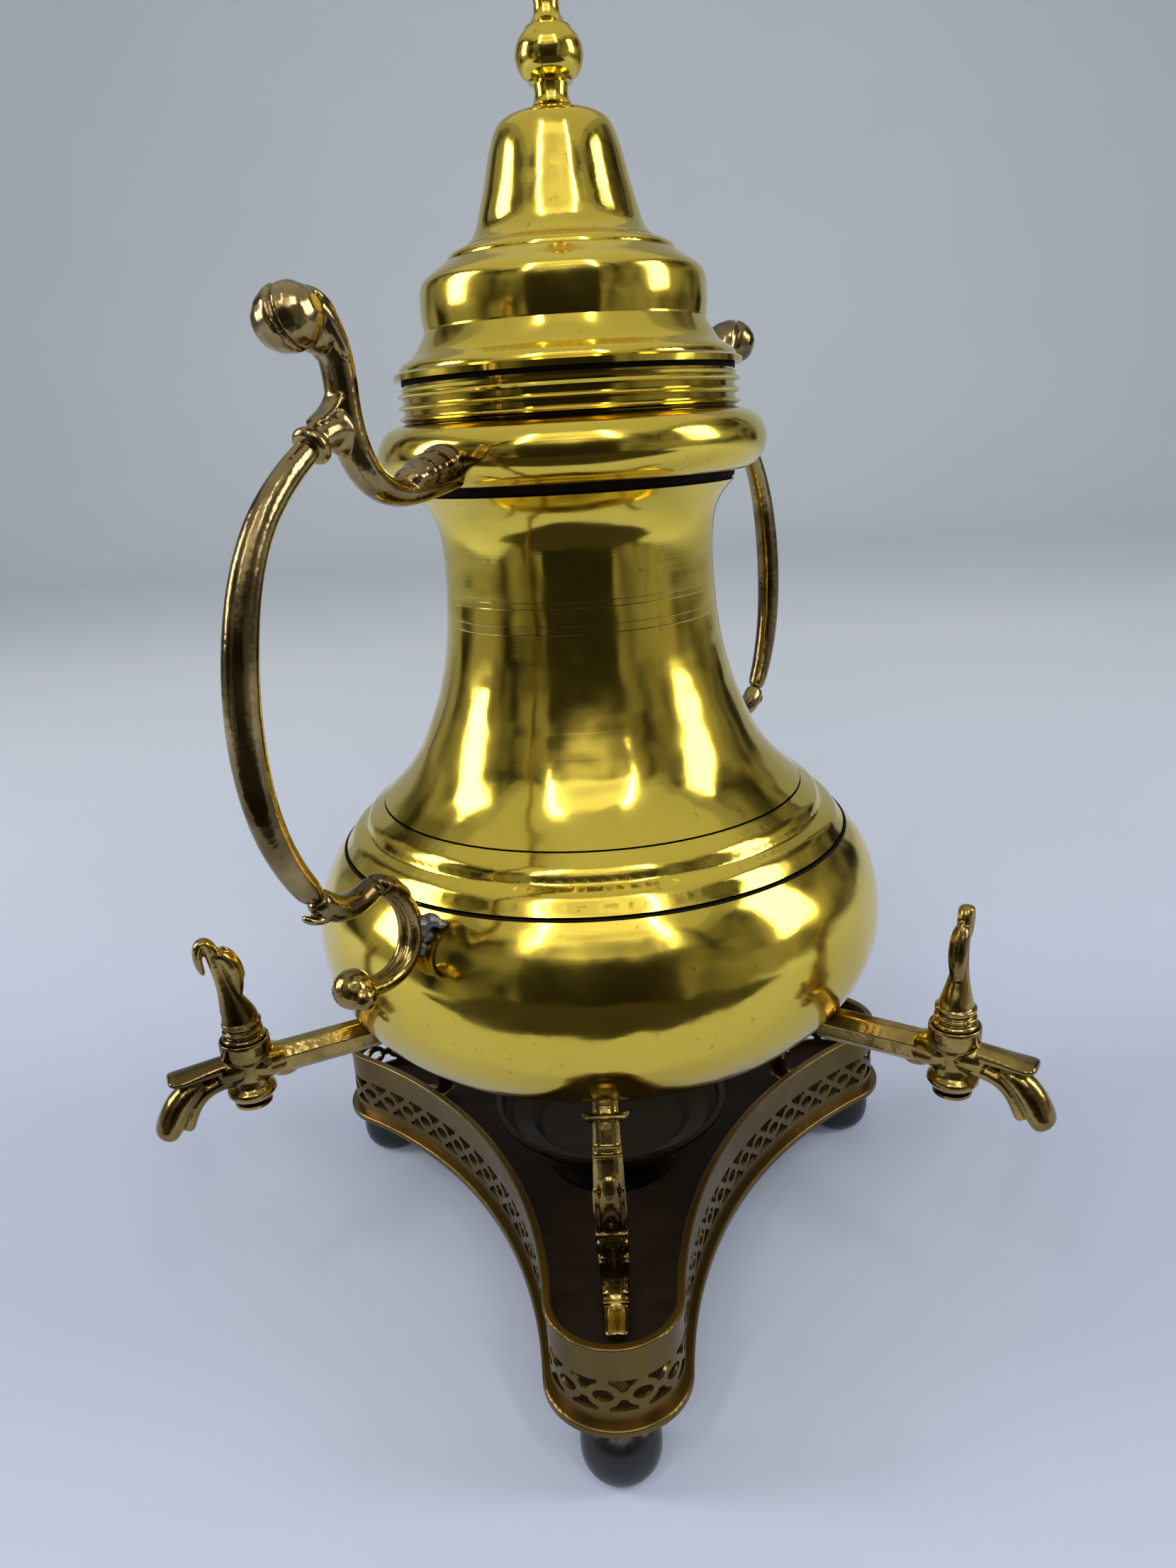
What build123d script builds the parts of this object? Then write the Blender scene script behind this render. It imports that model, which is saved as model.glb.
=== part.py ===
# Three-tap brass urn on three legs, standing on a three-lobed tray with a pierced edge.
# Millimetres, +Z up, the urn's axis on Z, the front lobe of the tray towards -Y.
from build123d import *
import math
import os

os.makedirs("parts", exist_ok=True)

# Tray and feet
FOOT_R = 13.0            # widest radius of a bun foot
FOOT_H = 26.0            # height of a bun foot
BOARD_T = 4.0            # thickness of the floor board
LOBE_RING_R = 110.3      # the centres of the rounded lobes
LOBE_R = 24.3            # radius of a lobe at the bottom moulding
FOOT_RING_R = LOBE_RING_R + 9.7  # the bun feet stand on this circle, 120 mm
WAIST_R = 57.4           # from the axis to the middle of a hollow side
EDGE_OUT = 2.8           # how far the bottom moulding stands out from the wall
EDGE_T = 2.4             # height of the bottom moulding
WALL_T = 1.2             # thickness of the pierced wall
WALL_H = 26.6            # height of the pierced wall
RIM_W = 3.0              # width of the rolled rim
RIM_H = 2.0              # height of the rolled rim
PIERCE_Z = 10.6          # middle of the pierced band above the foot of the wall
PIERCE_W = 6.8           # width of the oval holes in the wall
PIERCE_H = 4.4           # height of the oval holes
PIERCE_PITCH = 12.0      # distance between the oval holes
PIERCE_BAND = 11.4       # height of the pierced band
PIERCE_WEB = 3.2         # solid metal above and below each oval
SCREW_R = 1.6            # wood screws through the board
SCREW_HEAD_R = 3.4
SCREW_HEAD_H = 1.6
FLOOR_Z = FOOT_H + BOARD_T

# Urn body: heights stacked up from the board
WALL = 1.2               # sheet thickness of the spun brass
BELLY_CLEAR = 58.0       # from the board to the underside of the belly
BELLY_LOW_H = 54.0       # from the underside to the widest place
BELLY_UP_H = 33.8        # from the widest place to the raised band
SEAM_H = 15.8            # height of the sloping raised band
NECK_H = 80.4            # from the raised band to the narrowest place of the neck
FLARE_H = 23.9           # from there to the top of the neck
BELLY_R = 103.4
SEAM_LOW_R = 91.0
SEAM_TOP_R = 75.4
BAND_T = 1.3             # thickness of the raised band
NECK_R = 46.3
NECK_TOP_R = 54.2
LINE_DROPS = (8.9, 10.9, 16.3, 19.0)   # lines turned into the neck, below its narrowest place
BELLY_BOTTOM = FLOOR_Z + BELLY_CLEAR
BELLY_MID = BELLY_BOTTOM + BELLY_LOW_H
SEAM_LOW_Z = BELLY_MID + BELLY_UP_H
SEAM_TOP_Z = SEAM_LOW_Z + SEAM_H
NECK_Z = SEAM_TOP_Z + NECK_H
NECK_TOP_Z = NECK_Z + FLARE_H

# Collar and lid
COLLAR_FOOT_H = 2.9      # dark gap between the neck and the collar
ROLL_R = 9.8             # radius of the round roll's section
ROLL_RING_R = NECK_TOP_R + 0.9
BAND_H = 13.5            # height of the ribbed band above the roll
BAND_R = ROLL_RING_R + 0.6
RIB_H = 0.9
COLLAR_T = 1.3
LID_GAP = 0.4            # between the lid's sleeve and the collar
SLEEVE_T = 1.0
SLEEVE_H = 10.0
LID_R = BAND_R + 1.6
LID_T = 1.2
LID_FLANGE_T = 1.8
LID_H = 75.9             # from the flange to the top of the bell
STUD_R = 2.0             # screwed stud of the finial
KNOB_R = 10.7
FINIAL_H = 38.8
BAND_TOP_Z = NECK_TOP_Z + COLLAR_FOOT_H + 2 * ROLL_R + BAND_H    # the lid rests here
LID_TOP_Z = BAND_TOP_Z + LID_FLANGE_T + LID_H
FINIAL_TOP_Z = LID_TOP_Z + FINIAL_H

# Taps
TAP_AZ = {"left": -153.0, "right": -33.0, "back": 87.0}
TAP_Z = BELLY_MID - 27.4         # middle of the tap pipes
TAP_R = BELLY_R + 32.2   # from the urn's axis to the plug's axis
PIPE_W = 10.6            # across the flats of the eight-sided pipe
TAIL_R = 4.2             # round tail soldered through the belly
BORE_R = 2.7             # water way
BARREL_H = 24.8
BARREL_BOTTOM = TAP_Z - 12.4
BARREL_TOP = BARREL_BOTTOM + BARREL_H
BARREL_R = 7.2
PLUG_TOP_R = 5.4
PLUG_BOTTOM_R = 4.5
PLUG_GAP = 0.05          # running clearance of the plug
END_GAP = 0.3            # between turning and fixed faces
KEY_SCREW_R = 1.5

# Handles
HANDLE_AZ = (-123.6, 56.4)
ARM_R = 4.0
GRIP_R = 5.3
KNOB_OUT = 54.8          # from the roll to the scroll's ball, outwards and up
KNOB_UP = 37.8
GRIP_OUT = 86.0          # from the roll to the widest place of the grip
GRIP_DROP = 113.6        # from the roll down to the grip's lower end
SCROLL_R = 2.8

# Legs
LEG_AZ = (-90.0, 30.0, 150.0)
LEG_W = 11.0
LEG_T = 6.0
TOE_R = 0.995            # end of the toe, as a share of the belly's radius

# Charcoal dish under the urn
DISH_R = 46.0
DISH_H = 28.5            # top of the dish's rim above the board
DISH_DEEP = 14.0         # from the rim to the dish's underside
DISH_T = 1.5


def save(name, shape):
    solids = shape.solids()
    shape = solids[0] if len(solids) == 1 else Compound(solids)
    shape.label = name
    export_step(shape, f"parts/{name}.step")


def turned(*runs):
    # Solid of revolution about Z. Each run is a list of (radius, height) points:
    # two points make a straight line, more points make a smooth curve.
    edges = []
    for run in runs:
        pts = [(r, 0, z) for r, z in run]
        if len(pts) == 2:
            edges.append(Line(*pts))
        else:
            edges.append(Spline(*pts))
    first, last = runs[0][0], runs[-1][-1]
    if math.dist(first, last) > 1e-6:
        edges.append(Line((last[0], 0, last[1]), (first[0], 0, first[1])))
    return revolve(make_face(Wire(edges)), Axis.Z, 360)


def lathe(points):
    # The same with straight lines only.
    wire = Polyline(*[(r, 0, z) for r, z in points], close=True)
    return revolve(make_face(wire), Axis.Z, 360)


def inset(points, t):
    # The same curve moved inwards (to the left when walking up the outside).
    out = []
    for i, (r, z) in enumerate(points):
        a = points[max(i - 1, 0)]
        b = points[min(i + 1, len(points) - 1)]
        n = math.hypot(b[0] - a[0], b[1] - a[1])
        out.append((r - t * (b[1] - a[1]) / n, z + t * (b[0] - a[0]) / n))
    return out


def at_angle(shape, az):
    return Rot(0, 0, az) * shape


def sweep_round(points, radius):
    # Round bar along a smooth curve given by (distance from axis, height) points.
    path = Spline(*[(x, 0, z) for x, z in points])
    section = Plane(origin=path @ 0, z_dir=path % 0) * Circle(radius)
    return sweep(section, path=path)


def sweep_taper(points, radii):
    # Round bar with a radius that changes evenly from section to section.
    path = Spline(*[(x, 0, z) for x, z in points])
    n = 3 * (len(radii) - 1)
    sections = []
    for i in range(n + 1):
        k, rest = divmod(i / 3, 1)
        k = int(k)
        r = radii[k] + (radii[min(k + 1, len(radii) - 1)] - radii[k]) * rest
        sections.append(Plane(origin=path @ (i / n), z_dir=path % (i / n)) * Circle(r))
    return loft(sections)


def ball(x, z, radius):
    return Pos(x, 0, z) * Sphere(radius)


def rod(x0, z0, x1, z1, radius):
    # Straight round bar between two points of the plane y = 0.
    d = Vector(x1 - x0, 0, z1 - z0)
    return extrude(Plane(origin=(x0, 0, z0), z_dir=d) * Circle(radius), d.length)


# Tray outline: three round lobes joined by three hollow sides that run on smoothly.
def hollow_radius():
    du = WAIST_R - LOBE_RING_R / 2
    v = LOBE_RING_R * math.sqrt(3) / 2
    return (du * du + v * v - LOBE_R * LOBE_R) / (2 * (LOBE_R - du))


HOLLOW_R = hollow_radius()
HOLLOW_RING_R = WAIST_R + HOLLOW_R


def polar(r, deg):
    return r * math.cos(math.radians(deg)), r * math.sin(math.radians(deg))


def tray_arcs(back):
    # (start, middle, end, centre, radius, turning outward) of the six arcs,
    # the outline moved inwards by "back".
    arcs = []
    for az in LEG_AZ:
        lc = polar(LOBE_RING_R, az)
        for side in (-60, 60):
            hc = polar(HOLLOW_RING_R, az + side)
            k = (LOBE_R - back) / (LOBE_R + HOLLOW_R)
            tp = (lc[0] + (hc[0] - lc[0]) * k, lc[1] + (hc[1] - lc[1]) * k)
            if side < 0:
                start = tp
            else:
                end = tp
        tip = polar(LOBE_RING_R + LOBE_R - back, az)
        arcs.append([start, tip, end, lc, LOBE_R - back, 1])
        nxt = polar(LOBE_RING_R, az + 120)
        hc = polar(HOLLOW_RING_R, az + 60)
        k = (LOBE_R - back) / (LOBE_R + HOLLOW_R)
        far = (nxt[0] + (hc[0] - nxt[0]) * k, nxt[1] + (hc[1] - nxt[1]) * k)
        arcs.append([end, polar(WAIST_R - back, az + 60), far, hc, HOLLOW_R + back, -1])
    return arcs


def tray_face(back, z):
    edges = [ThreePointArc((*a[0], z), (*a[1], z), (*a[2], z)) for a in tray_arcs(back)]
    return make_face(Wire(edges))


def tray_ring(outer, inner, z, height):
    return extrude(tray_face(outer, z), height) - extrude(tray_face(inner, z), height)


def along_outline(back, spacing):
    # Evenly spaced places (x, y, direction of the outward normal) on the outline.
    arcs, total = [], 0.0
    for start, mid, end, c, r, out in tray_arcs(back):
        a0 = math.atan2(start[1] - c[1], start[0] - c[0])
        am = math.atan2(mid[1] - c[1], mid[0] - c[0])
        half = (am - a0 + math.pi) % (2 * math.pi) - math.pi
        arcs.append((c, r, out, am - half, 2 * half, total))
        total += abs(2 * half) * r
    n = 3 * round(total / spacing / 3)
    places = []
    for i in range(2 * n):
        s = (i + 0.5) * total / (2 * n) % total
        for c, r, out, a0, da, s0 in arcs:
            if s0 <= s < s0 + abs(da) * r:
                a = a0 + math.copysign((s - s0) / r, da)
                places.append((c[0] + r * math.cos(a), c[1] + r * math.sin(a),
                               math.degrees(a) + (0 if out > 0 else 180), i % 2))
    return places


# Urn outline, as shares of the named heights and radii.
LOWER = [(0.30, 0.0), (0.47, 0.045), (0.60, 0.125), (0.755, 0.30), (0.877, 0.48), (0.947, 0.65),
         (0.987, 0.83), (1.0, 1.0)]
UPPER = [(0.927, 0.34), (0.645, 0.66), (0.339, 0.85), (0.0, 1.0)]
SHOULDER = [(1.0, 0.0), (0.80, 0.067), (0.645, 0.13), (0.481, 0.221), (0.35, 0.322),
            (0.237, 0.423), (0.14, 0.54), (0.066, 0.67), (0.022, 0.82), (0.0, 1.0)]
FLARE = [(0.038, 0.32), (0.139, 0.544), (0.291, 0.695), (0.57, 0.845), (1.0, 1.0)]


def between(r0, r1, z0, z1, shares):
    # Points with the radius from r0 (share 0) to r1 (share 1), the height likewise.
    return [(r0 + (r1 - r0) * f, z0 + (z1 - z0) * g) for f, g in shares]


belly_low = between(0, BELLY_R, BELLY_BOTTOM, BELLY_MID, LOWER)
belly_line = belly_low + between(SEAM_LOW_R, BELLY_R, BELLY_MID, SEAM_LOW_Z, UPPER)
shoulder_line = between(NECK_R, SEAM_TOP_R, SEAM_TOP_Z, NECK_Z, SHOULDER)
shoulder_line += between(NECK_R, NECK_TOP_R, NECK_Z, NECK_TOP_Z, FLARE)

# The two shells meet under the raised band, half way up it.
along = (SEAM_TOP_R - SEAM_LOW_R, SEAM_TOP_Z - SEAM_LOW_Z)
band_len = math.hypot(*along)
inward = (-along[1] / band_len, along[0] / band_len)


def seam_point(share, depth):
    return (SEAM_LOW_R + along[0] * share + inward[0] * depth,
            SEAM_LOW_Z + along[1] * share + inward[1] * depth)


belly_full = turned([(0, BELLY_BOTTOM), belly_low[0]], belly_line,
                    [belly_line[-1], (0, SEAM_LOW_Z)])
inner = inset(belly_line, WALL)
inner[0] = (belly_line[0][0], BELLY_BOTTOM + WALL)
inner[-1] = (inner[-1][0], SEAM_LOW_Z - 2 * BAND_T)
belly = turned([(0, BELLY_BOTTOM), belly_low[0]], belly_line,
               [belly_line[-1], seam_point(0, BAND_T)],
               [seam_point(0, BAND_T), seam_point(0.5, BAND_T)],
               [seam_point(0.5, BAND_T), seam_point(0.5, BAND_T + WALL)],
               [seam_point(0.5, BAND_T + WALL), inner[-1]],
               inner[::-1], [inner[0], (0, BELLY_BOTTOM + WALL)],
               [(0, BELLY_BOTTOM + WALL), (0, BELLY_BOTTOM)])
for az in TAP_AZ.values():
    belly -= at_angle(rod(BELLY_R * 0.7, TAP_Z, BELLY_R * 1.1, TAP_Z, TAIL_R), az)
save("belly_shell", belly)

inner = inset(shoulder_line, WALL)
inner[0] = seam_point(1, BAND_T + WALL)
lip_r = NECK_TOP_R - 3 * WALL
inner[-1] = (lip_r, NECK_TOP_Z - WALL)
shoulder = turned([seam_point(0.5, BAND_T), seam_point(1, BAND_T)],
                  [seam_point(1, BAND_T), shoulder_line[0]], shoulder_line,
                  [shoulder_line[-1], (lip_r, NECK_TOP_Z)],
                  [(lip_r, NECK_TOP_Z), inner[-1]], inner[::-1],
                  [inner[0], seam_point(0.5, BAND_T + WALL)],
                  [seam_point(0.5, BAND_T + WALL), seam_point(0.5, BAND_T)])
for i, drop in enumerate(LINE_DROPS):
    z = NECK_Z - drop
    r = NECK_R + (0.0 if i < 2 else 0.5)       # the neck is a little wider lower down
    shoulder -= lathe([(r - 0.1, z), (r + 4, z - 1.2), (r + 4, z + 1.2)])
save("shoulder_shell", shoulder)

ridge = 0.9
band_out = [seam_point(0.03, 0), seam_point(0.14, -0.4 * ridge), seam_point(0.28, -ridge),
            seam_point(0.42, -0.2 * ridge), seam_point(0.50, 0.5 * ridge),
            seam_point(0.58, -0.2 * ridge), seam_point(0.72, -ridge),
            seam_point(0.86, -0.4 * ridge), seam_point(0.97, 0)]
save("raised_band", turned([seam_point(0, BAND_T), seam_point(0.03, 0)], band_out,
                           [seam_point(0.97, 0), seam_point(1, BAND_T)],
                           [seam_point(1, BAND_T), seam_point(0, BAND_T)]))

# Collar: foot ring, hollow round roll and ribbed band, spun in one piece.
roll_low = NECK_TOP_Z + COLLAR_FOOT_H
roll_z = roll_low + ROLL_R
roll_top = roll_z + ROLL_R
foot_in = NECK_TOP_R - 2.0
collar_in = BAND_R - COLLAR_T


def roll_arc(radius, first, last):
    steps = 6
    return [(ROLL_RING_R + radius * math.cos(math.radians(first + (last - first) * i / steps)),
             roll_z + radius * math.sin(math.radians(first + (last - first) * i / steps)))
            for i in range(steps + 1)]


outer_arc = roll_arc(ROLL_R, -90, 90)
inner_arc = roll_arc(ROLL_R - COLLAR_T, -90, 82)
rib_pitch = (BAND_TOP_Z - roll_top) / 4
band = [(BAND_R, roll_top)]
for i in (1, 2, 3):
    z = roll_top + i * rib_pitch
    band += [(BAND_R, z - 1.2), (BAND_R + RIB_H, z - 0.5), (BAND_R + RIB_H, z + 0.5),
             (BAND_R, z + 1.2)]
band += [(BAND_R, BAND_TOP_Z), (collar_in, BAND_TOP_Z), (collar_in, inner_arc[-1][1])]
runs = [[(foot_in, NECK_TOP_Z), (foot_in, roll_low)], [(foot_in, roll_low), outer_arc[0]],
        outer_arc, [outer_arc[-1], band[0]]]
runs += [[a, b] for a, b in zip(band[:-1], band[1:])]
runs += [[band[-1], inner_arc[-1]], inner_arc[::-1],
         [inner_arc[0], (foot_in - COLLAR_T, inner_arc[0][1])],
         [(foot_in - COLLAR_T, inner_arc[0][1]), (foot_in - COLLAR_T, NECK_TOP_Z)],
         [(foot_in - COLLAR_T, NECK_TOP_Z), (foot_in, NECK_TOP_Z)]]
collar = turned(*[r for r in runs if math.dist(r[0], r[-1]) > 1e-6])
save("collar_ring", collar)

# Lid: stepped dome with a thin flange, a sleeve inside the collar and a screwed finial.
z0 = BAND_TOP_Z + LID_FLANGE_T
LID_PARTS = [                # (radius as a share of LID_R, height as a share of LID_H)
    [(0.970, 0.012), (0.954, 0.034), (0.895, 0.064), (0.843, 0.112), (0.803, 0.166)],
    [(0.803, 0.174), (0.811, 0.224), (0.810, 0.303), (0.795, 0.352), (0.742, 0.389),
     (0.665, 0.430)],
    [(0.644, 0.437), (0.633, 0.456), (0.581, 0.477), (0.536, 0.490)],
    [(0.532, 0.495), (0.480, 0.540), (0.445, 0.614), (0.408, 0.711), (0.370, 0.827),
     (0.340, 0.896), (0.304, 0.943), (0.220, 0.977), (0.119, 1.0)]]
lid_parts = [between(0, LID_R, z0, LID_TOP_Z, part) for part in LID_PARTS]
lid_in = inset([p for part in lid_parts for p in part], LID_T)
lid_in[0] = (LID_R - 4.6, BAND_TOP_Z)
lid_in[-1] = (lid_in[-1][0], LID_TOP_Z - LID_T)


def linked(parts):
    # The smooth stretches with a short straight line from each to the next.
    out = [parts[0]]
    for part in parts[1:]:
        out += [[out[-1][-1], part[0]], part]
    return out


inner_parts = []
for part in lid_parts:
    inner_parts.append(lid_in[:len(part)])
    lid_in = lid_in[len(part):]
lid_top = [lid_parts[-1][-1], (STUD_R, LID_TOP_Z), (STUD_R, LID_TOP_Z - LID_T),
           inner_parts[-1][-1]]
lid_runs = [[(LID_R, BAND_TOP_Z), (LID_R, z0)], [(LID_R, z0), lid_parts[0][0]]]
lid_runs += linked(lid_parts) + [[a, b] for a, b in zip(lid_top[:-1], lid_top[1:])]
lid_runs += [run[::-1] for run in linked(inner_parts)[::-1]]
lid_runs += [[inner_parts[0][0], (LID_R, BAND_TOP_Z)]]
save("lid_shell", turned(*lid_runs))

sleeve_r = collar_in - LID_GAP
sleeve = lathe([(sleeve_r, BAND_TOP_Z), (sleeve_r, BAND_TOP_Z - SLEEVE_H),
                (sleeve_r - SLEEVE_T, BAND_TOP_Z - SLEEVE_H), (sleeve_r - SLEEVE_T, BAND_TOP_Z)])
save("lid_sleeve", sleeve)

nut_h = 3.0
stud_low = LID_TOP_Z - LID_T - nut_h - 2
knob_z = LID_TOP_Z + 1.3 * KNOB_R
foot_r = 0.62 * KNOB_R
FINIAL = [[(0.51, 0.0), (0.49, 0.17), (0.51, 0.36)],      # stem, from the lid to the ball
          [(0.62, -0.58), (0.90, -0.34), (1.0, 0.0), (0.90, 0.34), (0.60, 0.60)],
          [(0.56, 0.70), (0.60, 0.82), (0.69, 1.06), (0.72, 1.34), (0.62, 1.74), (0.34, 2.10)]]
stem = [(KNOB_R * r, LID_TOP_Z + KNOB_R * h) for r, h in FINIAL[0]]
knob = [(KNOB_R * r, knob_z + KNOB_R * h) for r, h in FINIAL[1]]
top = [(KNOB_R * r, knob_z + KNOB_R * h) for r, h in FINIAL[2]] + [(0, FINIAL_TOP_Z)]
finial = turned([(0, stud_low), (STUD_R, stud_low)], [(STUD_R, stud_low), (STUD_R, LID_TOP_Z)],
                [(STUD_R, LID_TOP_Z), (foot_r, LID_TOP_Z)], [(foot_r, LID_TOP_Z), stem[0]],
                *linked([stem, knob, top]), [top[-1], (0, stud_low)])
save("lid_finial", finial)
nut = extrude(Pos(0, 0, LID_TOP_Z - LID_T - nut_h) * RegularPolygon(5.0, 6), nut_h)
nut -= Pos(0, 0, LID_TOP_Z - LID_T - nut_h / 2) * Cylinder(STUD_R, nut_h * 2)
save("finial_nut", nut)

# Handles: cast upper bracket with a ball scroll, turned grip, cast lower scroll.
hx = ROLL_RING_R + ROLL_R          # the handle starts on the face of the roll
roll_solid = turned([(0, roll_low), outer_arc[0]], outer_arc, [outer_arc[-1], (0, roll_top)])
knob = (hx + KNOB_OUT, roll_z + KNOB_UP)
ARM = [(0.018, -0.013), (0.128, -0.116), (0.255, -0.212), (0.401, -0.254), (0.566, -0.175),
       (0.682, 0.053), (0.712, 0.317), (0.697, 0.582), (0.739, 0.833), (0.867, 0.979), (1.0, 1.0)]
GRIP = [(0.609, -0.04), (0.70, 0.007), (0.779, 0.062), (0.853, 0.130), (0.933, 0.255),
        (0.986, 0.431), (1.0, 0.581), (0.986, 0.722), (0.937, 0.845), (0.860, 0.951),
        (0.809, 1.0)]
arm = between(hx, knob[0], roll_z, knob[1], ARM)
grip = between(hx, hx + GRIP_OUT, roll_z, roll_z - GRIP_DROP, GRIP)
grip_path = Spline(*[(x, 0, z) for x, z in grip])
grip_bar = sweep_taper(grip, [0.78 * GRIP_R, 0.94 * GRIP_R, GRIP_R, GRIP_R, 0.97 * GRIP_R,
                              0.86 * GRIP_R, 0.72 * GRIP_R])
bead = extrude(Plane(origin=grip_path @ 0, z_dir=-(grip_path % 0)) * Circle(GRIP_R + 1.2), 3.0)
bead = fillet(bead.edges(), 1.2)
start = grip_path @ 0 - (grip_path % 0) * 2.4
bracket = sweep_round(arm, ARM_R) + ball(*knob, 2.1 * ARM_R)
bracket += rod(arm[5][0] + 1.0, arm[5][1] + 3.0, start.X, start.Z, 0.95 * ARM_R) + bead
bracket += sweep_round([(hx - 3, roll_z + 1.6), (hx + 4, roll_z - 2.2), (hx + 11, roll_z - 6.4)],
                       1.4 * ARM_R)
bracket += rod(hx - 6, roll_z + 2.6, hx + 0.5, roll_z + 0.4, 1.75 * ARM_R)
bracket -= roll_solid

# The lower scroll: end cup of the grip, a C and a ball; its back is soldered to the belly.
tip = grip_path @ 1
tip_dir = grip_path % 1
scroll_z = SEAM_LOW_Z - 4.4
scroll_r = BELLY_R - 4.2
scroll = [(tip.X, tip.Z), (tip.X - 4.5, tip.Z - 4.6), (tip.X - 11, tip.Z - 6.2),
          (tip.X - 19.5, tip.Z - 5.8), (scroll_r + 8.6, scroll_z + 17.0),
          (scroll_r + 1.8, scroll_z + 9.4), (scroll_r, scroll_z + 1.0),
          (scroll_r + 3.6, scroll_z - 6.6), (scroll_r + 12, scroll_z - 10.6),
          (scroll_r + 21, scroll_z - 10.2)]
low_ball = (scroll_r + 26.5, scroll_z - 8.4)
lower = sweep_round(scroll, SCROLL_R) + ball(*low_ball, 1.6 * SCROLL_R)
lower += ball(scroll[-1][0], scroll[-1][1], SCROLL_R)
cup = extrude(Plane(origin=tip, z_dir=tip_dir) * Circle(0.95 * GRIP_R), 4.0)
lower += fillet(cup.edges(), 1.0)
lower += rod(scroll_r - 9, scroll_z - 4.5, scroll_r + 0.5, scroll_z + 0.8, 1.3 * SCROLL_R)
lower -= belly_full
lower -= grip_bar
lower = max(lower.solids(), key=lambda s: s.volume)
for side, az in zip(("left", "right"), HANDLE_AZ):
    save(f"handle_{side}_bracket", at_angle(bracket, az))
    save(f"handle_{side}_grip", at_angle(grip_bar, az))
    save(f"handle_{side}_scroll", at_angle(lower, az))

# Taps: eight-sided pipe, barrel with a tapered seat, spout with an overhanging lip.
flats = Plane.YZ.offset(BELLY_R * 0.8) * RegularPolygon(PIPE_W / 2 / math.cos(math.pi / 8), 8,
                                                         rotation=22.5)
pipe = Pos(0, 0, TAP_Z) * extrude(flats, TAP_R - BELLY_R * 0.8)
profile = [(0, 0.0), (1.18, 0.0), (1.22, 0.08), (1.0, 0.17), (0.92, 0.32), (0.96, 0.62),
           (1.12, 0.84), (1.22, 0.93), (1.16, 1.0), (0, 1.0)]
barrel = Pos(TAP_R, 0, 0) * lathe([(BARREL_R * f, BARREL_BOTTOM + BARREL_H * g)
                                   for f, g in profile])
spout_path = [(TAP_R, TAP_Z - 1.5), (TAP_R + 8, TAP_Z - 1.6), (TAP_R + 16, TAP_Z - 3.0),
              (TAP_R + 23.5, TAP_Z - 7.6), (TAP_R + 29.0, TAP_Z - 15.4)]
lip_path = [(TAP_R + 4, TAP_Z + 1.4), (TAP_R + 14, TAP_Z + 2.2), (TAP_R + 24.5, TAP_Z + 2.4)]
spout = sweep_taper(spout_path, [4.9, 4.8, 4.4, 4.7, 4.3])
lip = sweep_taper(lip_path, [3.4, 3.1, 3.0])
jaw = sweep_taper([(TAP_R + 14, TAP_Z - 6), (TAP_R + 18.5, TAP_Z - 10), (TAP_R + 21, TAP_Z - 15.5)],
                  [2.4, 2.4, 2.0])
tap = pipe - belly_full + barrel + spout + lip + jaw
tap += rod(BELLY_R * 0.84, TAP_Z, BELLY_R * 0.97, TAP_Z, TAIL_R)
tap -= rod(BELLY_R * 0.8, TAP_Z, TAP_R, TAP_Z, BORE_R)
tap -= sweep_round(spout_path[:-1] + [(TAP_R + 29.6, TAP_Z - 16.4)], BORE_R)


def plug_cone(gap, low, high):
    # The plug's taper, moved out by "gap", between two heights.
    def r(z):
        k = (z - BARREL_BOTTOM) / BARREL_H
        return PLUG_BOTTOM_R + (PLUG_TOP_R - PLUG_BOTTOM_R) * k + gap
    return Pos(TAP_R, 0, 0) * lathe([(0, low), (r(low), low), (r(high), high), (0, high)])


tap -= plug_cone(PLUG_GAP, BARREL_BOTTOM - 1, BARREL_TOP + 1)
tap = max(tap.solids(), key=lambda s: s.volume)

# Key: the plug with its cross hole, turned rings, a bell-shaped stem and two curled scrolls.
plug_low = BARREL_BOTTOM - END_GAP
ring_z = BARREL_TOP + END_GAP
screw_len = 6.0
key = plug_cone(0, plug_low, ring_z + 0.2)
rings = [(0, 0), (6.9, 0), (7.2, 0.8), (6.7, 1.7), (5.7, 2.1), (5.7, 3.0), (6.6, 3.5),
         (6.8, 4.4), (5.9, 5.1), (6.6, 6.0), (6.7, 7.6), (5.9, 10.6), (4.4, 15.2), (3.3, 20.0),
         (2.9, 24.6), (0, 24.6)]
key += Pos(TAP_R, 0, 0) * lathe([(r, ring_z + z) for r, z in rings])
kz = ring_z + 19.0
curl_out = [(TAP_R, kz), (TAP_R + 1.6, kz + 6.0), (TAP_R + 4.4, kz + 11.6),
            (TAP_R + 8.0, kz + 14.0), (TAP_R + 10.2, kz + 10.8), (TAP_R + 10.0, kz + 5.6)]
curl_in = [(TAP_R, kz), (TAP_R + 0.2, kz + 6.4), (TAP_R - 3.4, kz + 9.8),
           (TAP_R - 7.4, kz + 6.6), (TAP_R - 8.0, kz - 1.4)]
key += sweep_taper(curl_out, [2.9, 2.9, 2.7, 2.4, 1.8])
key += sweep_taper(curl_in, [2.9, 2.8, 2.6, 2.4, 1.8])
key += ball(TAP_R, kz, 2.9)
key -= rod(TAP_R - 10, TAP_Z, TAP_R + 10, TAP_Z - 1.5, BORE_R)
key -= Pos(TAP_R, 0, plug_low + screw_len / 2) * Cylinder(KEY_SCREW_R, screw_len)
key = max(key.solids(), key=lambda s: s.volume)
washer_t = 1.0
washer = Pos(TAP_R, 0, plug_low - washer_t / 2) * (Cylinder(6.2, washer_t)
                                                   - Cylinder(KEY_SCREW_R, washer_t * 2))
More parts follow.
